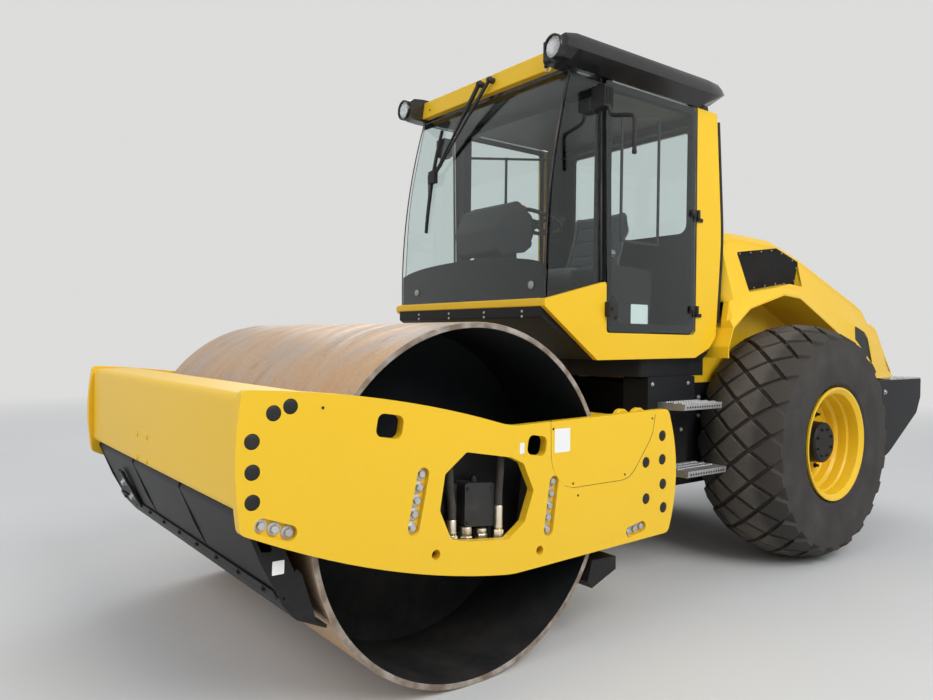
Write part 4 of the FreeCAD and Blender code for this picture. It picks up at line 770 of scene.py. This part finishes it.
def cab_trim():
    """Yellow sill under the front glass, bolts, mirror clamps' ribs, mirror arms' ends and headlining."""
    sill, bolts, ribs, ends, lining = forms(5)
    outline = [(2.2215, 1.6015, 0.001), (2.2478, 1.6015, 0.007), (2.2478, 1.6436, 0.006),
               (2.2215, 1.6436, 0.001)]
    sill.prism(rounded(outline, 5), widthwise(cab_half - 0.0305))
    sill.piece("front_sill", "yellow_paint")
    for y in (-0.4465, -0.1285, 0.2023, 0.5203):
        for z in (1.578, 1.551):
            bolt(bolts, at_axle(2.240, y, z), AHEAD, 0.011, phase=y * 9)
    for side in (-1, 1):
        for x, y, z in ((0.99, 0.655, 1.176), (1.33, 0.655, 1.176), (0.99, 0.655, 1.030),
                        (0.985, 0.605, 0.885),
                        (1.30, 0.605, 0.885), (0.985, 0.605, 0.66), (1.30, 0.605, 0.62)):
            bolt(bolts, at_axle(x, side * y, z), LEFT * side, 0.018, phase=x * 7)
    bolts.piece("frame_bolts", "step_steel")
    outer = cab_half + 0.062
    for k in range(6):
        x = 1.832 + 0.0112 * k
        ribs.box(at_axle(x, outer - 0.004, 2.682), at_axle(x + 0.0056, outer + 0.005, 2.773))
    ribs.box(at_axle(1.822, cab_half - 0.005, 2.664), at_axle(1.830, outer - 0.010, 2.790))
    ribs.twin().piece("mirror_clamp_ribs", "dark_plastic", bevel=0.0015)
    ends.turned([(0.0125, 0.0), (0.0132, -0.012), (0.0105, -0.018)], at_axle(1.838, cab_half + 0.221, 2.412),
                UP, 20)
    ends.twin().piece("mirror_arm_ends", "dark_plastic")
    outline = rounded([(2.030, 0.60, 0.05), (2.030, -0.60, 0.05), (0.86, -0.60, 0.05), (0.86, 0.60, 0.05)])
    lining.prism(outline, spanned(at_axle(0, 0, roof_low - 0.002), AHEAD, LEFT, UP * -0.016))
    lining.piece("headlining", "dark_plastic", bevel=0.004)


def lamps():
    """Round lamps in the roof: bowl, bulb, ribbed lens and bezel."""
    low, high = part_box("work_lamps")
    at = Vector((low.x, high.y - (high.z - low.z) / 2, (low.z + high.z) / 2))
    bowl, lens, bezel = forms(3)
    bowl.turned([(0.008, 0.0012), (0.022, 0.0030), (0.034, 0.0065), (0.044, 0.0115), (0.0500, 0.0165),
                 (0.0520, 0.0165), (0.0520, 0.0002), (0.008, 0.0002)], at, AHEAD, 40, caps=False)
    bowl.turned([(0.009, 0.0012), (0.009, 0.010), (0.005, 0.013)], at, AHEAD, 20)
    profile = [(0.0535, 0.0168)]
    for k in range(9):
        r = 0.0515 - 0.0058 * k
        profile += [(r, 0.0185 + 0.0006 * k), (r - 0.0035, 0.0178 + 0.0006 * k)]
    lens.turned(profile + [(0.0008, 0.0215)], at, AHEAD, 40)
    bezel.turned([(0.0650, -0.030), (0.0655, 0.020), (0.0635, 0.0265), (0.0590, 0.0272), (0.0552, 0.0240),
                  (0.0545, 0.0186)], at, AHEAD, 40, caps=False)
    made = [bowl.twin().piece("lamp_bowls", "rod_chrome"), lens.twin().piece("lamp_lenses", "lamp_glass")]
    bezel.twin().piece("lamp_bezels", "roof_plastic")
    for piece in made:
        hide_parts("work_lamps")


def roof_fittings():
    """Beacon socket with its keeper wire, and a dark disc on the roof band that paints a drain hole's shade.
    """
    socket, wire, dark = forms(3)
    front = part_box("roof_band")[1].x
    at = Vector((front - 0.004, 0.553, 2.872))
    socket.turned([(0.011, 0.0), (0.011, 0.020), (0.014, 0.022), (0.014, 0.046), (0.010, 0.050),
                   (0.010, 0.072),
                   (0.013, 0.074), (0.013, 0.098), (0.008, 0.102), (0.008,
                                                                    0.118)], at + AHEAD * 0.014, UP, 20)
    socket.box((front - 0.012, 0.538, 2.880), (front + 0.004, 0.568, 2.915))
    loop = []
    for k in range(25):
        a = math.radians(-80 + 340 * k / 24)
        loop.append(at + Vector((0.016 + 0.004 * math.sin(a * 2), 0.016 + 0.020 * math.cos(a),
                                 0.004 + 0.030 * math.sin(a))))
    wire.tube(loop, 0.0022, 8)
    # Dark disc that paints a drain hole's shade; no hole is cut
    dark.turned([(0.0075, -0.002), (0.0075, 0.0006)], (front - 0.0045, -0.545, 2.905), (1, 0, 0.1), 20)
    socket.piece("beacon_socket", "dark_plastic", bevel=0.001)
    wire.piece("socket_wire", "rod_chrome")
    dark.piece("band_hole_shade", "dark_plastic")


# Wiper: pivots on the roof band (y, z), each arm's drop to the blade and its half width
WIPER = [((0.0, 2.925), 0.514, 0.010), ((0.095, 2.925), 0.470, 0.008)]
# Spring cover's sections down the arm: share of the way, of the arm's width and of its depth
SPRING_COVER = [(-0.035, 0.5, 0.5), (0.0, 1.25, 1.1), (0.30, 1.15, 1.1), (0.36, 0.75, 0.8), (0.60, 0.65, 0.7)]
blade_y = -0.410
blade_low, blade_top = 2.088, 2.740


def wiper():
    """Blade, holder and the arms' spring covers and pivot caps over the plain ones."""
    cover, caps, rubber = forms(3)
    face = axle_x + 2.1057
    for (y, z), drop, width in WIPER:
        foot = on_glass(0, z - drop, 0.022)
        top = Vector((face + 0.030, y, z))
        run = Vector((foot.x, blade_y + y * 0.42 + 0.012, foot.z)) - top
        side = run.cross(Vector((1, 0, 0.15))).normalized()
        rings = []
        for t, wide, deep in SPRING_COVER:
            wide, deep = side * width * wide, AHEAD * (width * 0.8 * deep)
            rings.append([top + run * t + step for step in (wide + deep, deep - wide, -wide - deep,
                                                            wide - deep)])
        cover.loft(rings)
        caps.turned([(0.0165, -0.006), (0.0185, 0.010), (0.0185, 0.030), (0.013, 0.040), (0.004, 0.042)],
                    (face + 0.004, y, z), AHEAD, 24)
    length = blade_top - blade_low
    levels = [blade_low + length * k / 20 for k in range(21)]
    for form, wide, near, far in ((rubber, 0.0030, 0.0008, 0.014), (cover, 0.0095, 0.013, 0.0175)):
        rings = []
        for z in levels:
            reach = wide * (1 - 0.45 * abs(2 * (z - blade_low) / length - 1) ** 3)
            rings.append([on_glass(blade_y + s * reach, z, before)
                          for s, before in ((-1, near), (1, near), (1, far), (-1, far))])
        form.loft(rings)
    cover.piece("wiper_covers", "dark_plastic", bevel=0.0012)
    caps.piece("wiper_caps", "dark_plastic")
    rubber.piece("wiper_rubber", "block_rubber")


# Seat pads' outlines inside their solids: x from the rear axle, z from the ground, bend
CUSHION = [(1.134, 1.764, 0.02), (1.565, 1.764, 0.03), (1.612, 1.804, 0.03), (1.589, 1.868, 0.035),
           (1.134, 1.846, 0.02)]
SEAT_BACK = [(1.222, 1.880, 0.02), (1.128, 1.874, 0.01), (1.036, 2.150, 0.04), (1.056, 2.274, 0.035),
             (1.108, 2.274, 0.035), (1.146, 2.122, 0.05)]
swell_frames = 20
swell_cap = 0.014


def apply_modifiers(piece):
    """Puts the modifiers' result into the piece's mesh."""
    view = bpy.context.evaluated_depsgraph_get()
    mesh = bpy.data.meshes.new_from_object(piece.evaluated_get(view))
    piece.modifiers.clear()
    piece.data = mesh


def inflated(piece):
    """Swells a pad as stuffed cloth, no point moving further than the cap."""
    scene = bpy.context.scene
    remesh = piece.modifiers.new("remesh", "REMESH")
    remesh.mode = "VOXEL"
    remesh.voxel_size = 0.006
    apply_modifiers(piece)
    start = [v.co.copy() for v in piece.data.vertices]
    cloth = piece.modifiers.new("cloth", "CLOTH")
    cloth.settings.use_pressure = True
    cloth.settings.uniform_pressure_force = 4.0
    cloth.settings.effector_weights.gravity = 0.0
    cloth.point_cache.frame_start = 1
    cloth.point_cache.frame_end = swell_frames
    for frame_number in range(1, swell_frames + 1):
        scene.frame_set(frame_number)
    apply_modifiers(piece)
    scene.frame_set(1)
    for vertex, before in zip(piece.data.vertices, start):
        step = vertex.co - before
        if step.length > swell_cap:
            vertex.co = before + step * (swell_cap / step.length)
    piece.modifiers.new("smooth", "SMOOTH").iterations = 6
    apply_modifiers(piece)


def pressed(distance):
    """Depth of a sewn line at a distance from it."""
    return 0.007 * math.exp(-(distance / 0.007) ** 2)


def pad(name, outline, half, seams, along, node):
    """Padded pad with sewn lines across its width, pressed in after it has swollen."""
    piece = Form().prism(rounded(outline, 5), widthwise(half)).piece(name, "seat_fabric")
    inflated(piece)
    along = Vector(along)
    shares = [max(0.0, min(1.0, v.normal.dot(along) * 2 - 0.4)) for v in piece.data.vertices]
    for vertex, share in zip(piece.data.vertices, shares):
        where = vertex.co.copy()
        depth = sum(pressed(where.y - y) for y in (-seams[0], seams[0]))
        if abs(where.y) < seams[0]:
            reach = where.z if along.x > 0.5 else where.x - axle_x
            depth += sum(pressed(reach - line) for line in seams[1])
        vertex.co = where - along * depth * share
    round_off = piece.modifiers.new("round", "SUBSURF")
    round_off.levels = 1
    round_off.render_levels = 1
    piece.data.polygons.foreach_set("use_smooth", [True] * len(piece.data.polygons))
    dress(piece, "seat_fabric")
    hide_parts(node)


def seat():
    """Cushion and back with their sewn lines, and the bellows under the seat."""
    pad("seat_cushion_pad", CUSHION, 0.232, (0.150, (1.300, 1.440)), (0, 0, 1), "seat_cushion")
    pad("seat_back_pad", SEAT_BACK, 0.212, (0.140, (1.985, 2.085, 2.180)), (0.96, 0, 0.27), "seat_back")
    corners = slab(0.32, 0.34, 0.05)
    rings = []
    for k in range(9):
        share = (0.185 if k % 2 else 0.168) / 0.17
        rings.append([at_axle(1.330 + u * share, v * share, 1.530 + 0.0135 * k) for u, v in corners])
    Form().loft(rings).piece("seat_bellows", "block_rubber", smooth=20)


wheel_radius = 0.175
wheel_lean = math.radians(20)


def steering():
    """Round rim with grip swellings, spokes, boss and stalk bellows, standing for the plain wheel."""
    centre = at_axle(1.695, 0, 2.165)
    axis = Vector((-math.sin(wheel_lean), 0, math.cos(wheel_lean)))
    across = Vector((math.cos(wheel_lean), 0, math.sin(wheel_lean)))
    side = axis.cross(across)
    rim, boss, knob = forms(3)
    rings = []
    for k in range(73):
        a = 2 * math.pi * k / 72
        out = across * math.cos(a) + side * math.sin(a)
        rings.append(ring(centre + out * wheel_radius, out, axis, 0.0122 + 0.0009 * math.cos(36 * a), 14))
    rim.loft(rings, caps=False)
    for turn in (90, 180, 270):
        a = math.radians(turn)
        out = across * math.cos(a) + side * math.sin(a)
        over = axis.cross(out)
        rings = []
        for reach, wide, drop in ((0.030, 0.022, -0.006), (0.075, 0.015, -0.010), (0.120, 0.013, -0.008),
                                  (wheel_radius - 0.004, 0.018, 0.0)):
            middle = centre + out * reach + axis * drop
            rings.append([middle + over * wide * s + axis * up
                          for s, up in ((1, 0.004), (-1, 0.004), (-1, -0.005), (1, -0.005))])
        rim.loft(rings)
    boss.turned([(0.040, -0.034), (0.041, -0.004), (0.036, 0.006), (0.028, 0.009), (0.026, 0.006),
                 (0.004, 0.007)], centre, axis, 32)
    profile = [(0.026, -0.118)]
    for k in range(8):
        profile += [(0.030, -0.112 + 0.010 * k), (0.024, -0.107 + 0.010 * k)]
    boss.turned(profile + [(0.024, -0.030)], centre, axis, 24)
    cover = [(1.727, 2.012, 0.03), (1.760, 2.072, 0.02), (1.915, 2.040, 0.01), (1.915, 1.960, 0.01),
             (1.800, 1.960, 0.04)]
    boss.prism(rounded(cover, 5), widthwise(0.044))
    knob.turned([(0.009, 0.0), (0.011, 0.020), (0.019, 0.030), (0.021, 0.042), (0.014, 0.053),
                 (0.003, 0.056)],
                centre + (across * -0.6 + side * 0.8) * wheel_radius + axis * 0.010, axis, 24)
    for piece in (rim.piece("wheel_rim", "dark_plastic"),
                  boss.piece("wheel_boss", "dark_plastic", bevel=0.003),
                  knob.piece("wheel_knob", "dark_plastic")):
        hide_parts("steering_wheel")


def dash_details():
    """Gauges, keys and a red stop knob on the dash, and the levers' knobs, boots and plates."""
    dials, glassy, keys, red, knobs = forms(5)
    run = Vector((0.120, 0, 0.088)).normalized()
    out = Vector((-run.z, 0, run.x))
    middle = at_axle(1.925, 0, 2.194)
    for y in (-0.085, 0.0, 0.085):
        at = middle + LEFT * y
        dials.turned([(0.038, -0.004), (0.038, 0.006), (0.034, 0.008), (0.032, 0.003), (0.002, 0.003)], at,
                     out, 32)
        glassy.turned([(0.0315, 0.0045), (0.002, 0.0055)], at, out, 32)
    for k in range(8):
        y = -0.155 + 0.0275 * k + (0.062 if k > 3 else 0)
        at = middle - run * 0.050 + LEFT * y - out * 0.001
        keys.prism(slab(0.018, 0.026, 0.003, 3), spanned(at, LEFT, run * 0.8, out * 0.006))
    red.turned([(0.008, -0.002), (0.008, 0.014), (0.019, 0.018), (0.020, 0.026), (0.014, 0.031)],
               middle + LEFT * 0.150 - run * 0.008, out, 28)
    for y in (0.300, 0.390):
        knobs.turned([(0.008, -0.020), (0.0145, -0.014), (0.0185, -0.004), (0.0190, 0.006), (0.0155, 0.016),
                      (0.008, 0.022), (0.001, 0.023)], at_axle(1.400, y, 1.958), (-0.12, 0, 1), 28)
        boot = [((0.030, 0.025)[k % 2] - 0.0022 * k, 0.010 + 0.006 * k) for k in range(7)]
        dials.turned([(0.034, -0.02)] + boot, at_axle(1.413, y, 1.872), (-0.1, 0, 1), 28)
    for side in (-1, 1):
        at = at_axle(1.30, side * 0.358, 1.870)
        dials.prism(slab(0.20, 0.16, 0.03), spanned(at, AHEAD, LEFT, UP * 0.012))
    dials.piece("dash_bezels", "dark_plastic", bevel=0.0015)
    glassy.piece("dash_lenses", "lamp_glass", material=GREY)
    keys.piece("dash_keys", "roof_plastic", bevel=0.0012)
    red.piece("stop_knob", "dark_plastic", material=RED)
    knobs.piece("lever_knobs", "dark_plastic", material=GREY)


# Steps, wheels, hood and tail

# Steps' treads: x of both ends from the rear axle, z of the top, y of the back
TREADS = [(0.920, 1.280, 1.070, 0.655), (0.865, 1.240, 0.680, 0.605)]
teeth_along = 14


def step_treads():
    """Serrated teeth on the steps, and dark discs that paint the shade of their drain holes."""
    teeth, holes = forms(2)
    for x0, x1, z, back in TREADS:
        pitch = (x1 - x0 - 0.03) / teeth_along
        for k in range(teeth_along):
            x = x0 + 0.015 + pitch * (k + 0.5)
            for y in (back + 0.045, back + 0.100, back + 0.155):
                teeth.turned([(pitch * 0.40, -0.001), (pitch * 0.36, 0.0045), (pitch * 0.22, 0.0062),
                              (pitch * 0.20, 0.0020)], at_axle(x, y, z), UP, 12)
            # Dark disc that paints a drain hole's shade on the step's face; no hole is cut
            holes.turned([(pitch * 0.26, -0.0005), (pitch * 0.26, 0.0011)], at_axle(x, 0.8484, z - 0.020),
                         (0, 1, 0.05), 12)
    teeth.twin().piece("step_teeth", "step_steel")
    holes.twin().piece("step_hole_shades", "block_rubber")


def wheel_fittings():
    """Valve, wheel nuts and hub cover's bolts on each wheel."""
    for sign, name in ((1, "left"), (-1, "right")):
        nuts, cover, valve = forms(3)

        def at_wheel(reach, a, out):
            return Vector((axle_x + reach * math.cos(a), sign * (tyre_y + out), axle_z + reach * math.sin(a)))

        for k in range(8):
            a = 2 * math.pi * (k + 0.5) / 8
            bolt(cover, at_wheel(0.092, a, 0.200), LEFT * sign, 0.019, phase=a)
        for k in range(12):
            a = 2 * math.pi * k / 12
            at = at_wheel(0.200, a, 0.082)
            bolt(nuts, at, LEFT * sign, 0.030, phase=a)
            nuts.turned([(0.009, 0), (0.009, 0.028), (0.007, 0.030)], at, LEFT * sign, 12)
        valve.turned([(0.008, 0), (0.006, 0.004), (0.006, 0.022), (0.0075, 0.024), (0.0075, 0.036),
                      (0.005, 0.038)],
                     at_wheel(0.318, math.radians(-16), 0.200), (0, sign, 0.2), 16)
        cover.piece("hub_bolts_" + name, "black_paint", "wheel_" + name)
        nuts.piece("wheel_nuts_" + name, "black_paint", "wheel_" + name)
        valve.piece("tyre_valve_" + name, "step_steel", "wheel_" + name, material=BRASS)


# Hood's mesh, left: its outline in x from the rear axle and z, the face's y, and the wires' spacing
MESH = [(0.526, 2.013), (0.487, 1.752), (-0.039, 1.834), (-0.212, 1.822), (-0.262, 2.004), (0.022, 2.081)]
mesh_y = 0.657
wire_step = 0.0075
wire_radius = 0.0013
# Ledge along the mesh's lower edge: how far out it reaches, and its thickness in x and z, by MESH's points
LEDGE = [(0.660, 0.003, 0), (0.7445, 0.002, -0.003), (0.7255, 0, -0.003), (0.7180, -0.002, -0.002),
         (0.6550, -0.003, 0)]


def crossings(outline, level_at):
    """Where a closed outline crosses a height, from low to high."""
    found = []
    for (ua, va), (ub, vb) in zip(outline, outline[1:] + outline[:1]):
        if (va - level_at) * (vb - level_at) < 0:
            found.append(ua + (ub - ua) * (level_at - va) / (vb - va))
    return sorted(found)


def hood_fittings():
    """Wire mesh in the hood's sides, the rivets round it and the ledge below it."""
    wires, rivets, ledge = forms(3)
    for outline, start, count, inset, place in (
            (MESH, 1.755, 44, 0.006, lambda along, level: at_axle(along, mesh_y, level)),
            ([(z, x) for x, z in MESH], -0.255, 104, 0.005, lambda along,
             level: at_axle(level, mesh_y, along))):
        for k in range(count):
            level = start + wire_step * k
            cut = crossings(outline, level)
            if len(cut) == 2 and cut[1] - cut[0] > 0.02:
                wires.tube([place(cut[0] + inset, level), place(cut[1] - inset, level)], wire_radius, 4)
    for (xa, za), (xb, zb) in zip(MESH, MESH[1:] + MESH[:1]):
        run = Vector((xb - xa, 0, zb - za))
        inward = Vector((run.z, 0, -run.x)).normalized() * 0.012
        count = max(2, round(run.length / 0.125))
        for k in range(count):
            at = at_axle(xa, mesh_y + 0.0006, za) + run * ((k + 0.5) / count) + inward
            rivets.turned([(0.0058, 0.0), (0.0052, 0.0022), (0.002, 0.0028)], at, LEFT, 12)
    wires.twin().piece("hood_mesh", "dark_plastic", "hood")
    ledge.loft([[at_axle(x, 0.649, z), at_axle(x, out, z), at_axle(x + dx, out, z + dz),
                 at_axle(x + dx, 0.649, z + dz)] for (x, z), (out, dx, dz) in zip(MESH, LEDGE)])
    ledge.twin().piece("mesh_ledge", "yellow_paint", "hood")
    rivets.twin().piece("mesh_rivets", "step_steel", "hood")


def tail_fittings():
    """Bolts of the tail, tread bars on its step, and two tail lamps."""
    low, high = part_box("rear_step")
    bolts, plates, cases, red = forms(4)
    for y in (-0.60, -0.20, 0.20, 0.60):
        bolt(bolts, (low.x, y, 0.985), -AHEAD, frame_bolt, phase=y)
    for side in (-1, 1):
        for x, z in ((-1.00, 1.06), (-1.00, 0.93), (-1.20, 1.06)):
            bolt(bolts, at_axle(x, side * 0.860, z), LEFT * side, 0.030, phase=x)
    bolts.piece("tail_bolts", "step_steel")
    reach, half = 0.013, 0.003
    for i in range(26):
        for j in range(9):
            x, y = low.x + 0.045 + 0.056 * j, low.y + 0.045 + 0.0655 * i
            if x <= high.x - 0.02 and y <= high.y - 0.02:
                lean = reach if (i + j) % 2 else -reach
                plates.loft([[(x - reach, y - lean - half, z), (x + reach, y + lean - half, z),
                              (x + reach, y + lean + half, z), (x - reach, y - lean + half, z)]
                             for z in (high.z - 0.0005, high.z + 0.0016)])
    plates.piece("tread_bars", "step_steel")
    for side in (-1, 1):
        at = (low.x - 0.002, side * 0.72, 1.075)
        cases.turned([(0.052, 0.0), (0.052, 0.014), (0.047, 0.018)], at, -AHEAD, 32)
        red.turned([(0.046, 0.012), (0.046, 0.019), (0.040, 0.022), (0.002, 0.024)], at, -AHEAD, 32)
    cases.piece("tail_lamp_rims", "dark_plastic")
    red.piece("tail_lamps", "lamp_glass", material=RED)


def chassis_fittings():
    """Bolts in the chassis's sides, and bolts and a grease nipple on the pivot pin."""
    bolts, grease = forms(2)
    for side in (-1, 1):
        for x, z in ((1.24, 0.92), (1.24, 0.80), (1.24, 0.68), (0.62, 1.06), (0.62, 0.94), (0.42, 1.06)):
            bolt(bolts, at_axle(x, side * 0.470, z), LEFT * side, 0.028, phase=x * 5)
    bolts.piece("chassis_bolts", "step_steel")
    low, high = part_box("pivot_pin")
    top = Vector(((low.x + high.x) / 2, 0, high.z))
    for k in range(4):
        a = math.pi / 4 + math.pi / 2 * k
        bolt(grease, top + Vector((0.052 * math.cos(a), 0.052 * math.sin(a), 0)), UP, 0.020, phase=a)
    grease.turned([(0.006, 0), (0.006, 0.008), (0.003, 0.010), (0.004, 0.014)], top, UP, 12)
    grease.piece("pivot_bolts", "step_steel")


# View, ground and light

def added(name, data):
    """New object in the scene."""
    made = bpy.data.objects.new(name, data)
    bpy.context.scene.collection.objects.link(made)
    return made


def camera():
    """The photograph's view: place, aim and focal length in its pixels."""
    place = Vector((3.8325, 3.4937, 1.4279))
    yaw, pitch, roll = (math.radians(a) for a in (-127.6259, -0.8208, 0.6874))
    focal, width, sensor = 755.344, 933, 36.0
    ahead = Vector((math.cos(pitch) * math.cos(yaw), math.cos(pitch) * math.sin(yaw), math.sin(pitch)))
    right = ahead.cross(UP).normalized()
    up = right.cross(ahead)
    right, up = (right * math.cos(roll) + up * math.sin(roll), up * math.cos(roll) - right * math.sin(roll))
    data = bpy.data.cameras.new("camera")
    data.sensor_width = sensor
    data.lens = focal * sensor / width
    data.clip_end = 300
    made = added("camera", data)
    made.matrix_world = Matrix.Translation(place) @ Matrix((right, up, -ahead)).transposed().to_4x4()
    bpy.context.scene.camera = made


BACKDROP = (0.72, 0.72, 0.715, 1)
FLOOR = (0.66, 0.66, 0.655)


def floor():
    """Pale floor that fades into the backdrop far off."""
    size = 90.0
    mesh = bpy.data.meshes.new("floor")
    mesh.from_pydata([(-size, -size, 0), (size, -size, 0), (size, size, 0), (-size, size, 0)], [],
                     [(0, 1, 2, 3)])
    m = Material("floor", FLOOR, 0.9)
    m.feed(m.mix(m.noise(0.7, 3.0), (0.60, 0.60, 0.595), FLOOR), m.shader.inputs["Base Color"])
    away = m.node("VectorMath", {"operation": "LENGTH"}, i0=m.place()).outputs["Value"]
    far = m.times(m.node("MapRange", Value=away, i1=5.0, i2=16.0).outputs[0], m.seen())
    m.show("Material Output", far, m.shader.outputs[0], m.node("Emission", Color=BACKDROP).outputs[0])
    mesh.materials.append(m.material)
    added("floor", mesh)


def lamp(name, place, target, size, power):
    """Square lamp in the open, aimed at a point."""
    data = bpy.data.lights.new(name, "AREA")
    data.size = size
    data.energy = power
    made = added(name, data)
    made.location = place
    made.visible_transmission = False
    made.rotation_euler = (Vector(target) - Vector(place)).to_track_quat("-Z", "Y").to_euler()


def studio():
    """Soft overcast light: a sky brighter overhead, and three large lamps."""
    scene = bpy.context.scene
    scene.view_settings.view_transform = "Standard"
    scene.world = bpy.data.worlds.new("studio")
    scene.world.use_nodes = True
    sky = Tree(scene.world.node_tree)
    height = sky.node("SeparateXYZ", Vector=sky.node("TexCoord").outputs["Generated"]).outputs["Z"]
    back = sky.tree.nodes["Background"]
    sky.feed(sky.ramp(height, (0.0, (0.22, 0.23, 0.24)), (0.8, (0.66, 0.69, 0.73))), back.inputs["Color"])
    sky.show("World Output", sky.seen(), back.outputs[0], sky.node("Background", Color=BACKDROP).outputs[0])
    lamp("key", (0.5, 7.5, 6.5), (0.3, 0.3, 0.9), 5.0, 510)
    lamp("front", (8.0, 0.5, 4.0), (0.5, 0.0, 1.0), 6.0, 150)
    lamp("back", (-3.0, -7.0, 6.0), (0.0, 0.0, 1.0), 6.0, 240)


random.seed(7)
for part in frame["record"]["subparts"]:
    dress(NODE[part["node"]], part["material_slot"])
camera()
seat()
for width, nodes in EDGES.items():
    for node in nodes.split():
        rounded_edges(node, width)
steering()
dash_details()
plate_fittings()
crossbar_fittings()
scraper_fittings()
drive_fittings()
glass_fittings()
door_details()
cab_trim()
lamps()
roof_fittings()
wiper()
step_treads()
wheel_fittings()
hood_fittings()
tail_fittings()
chassis_fittings()
floor()
studio()
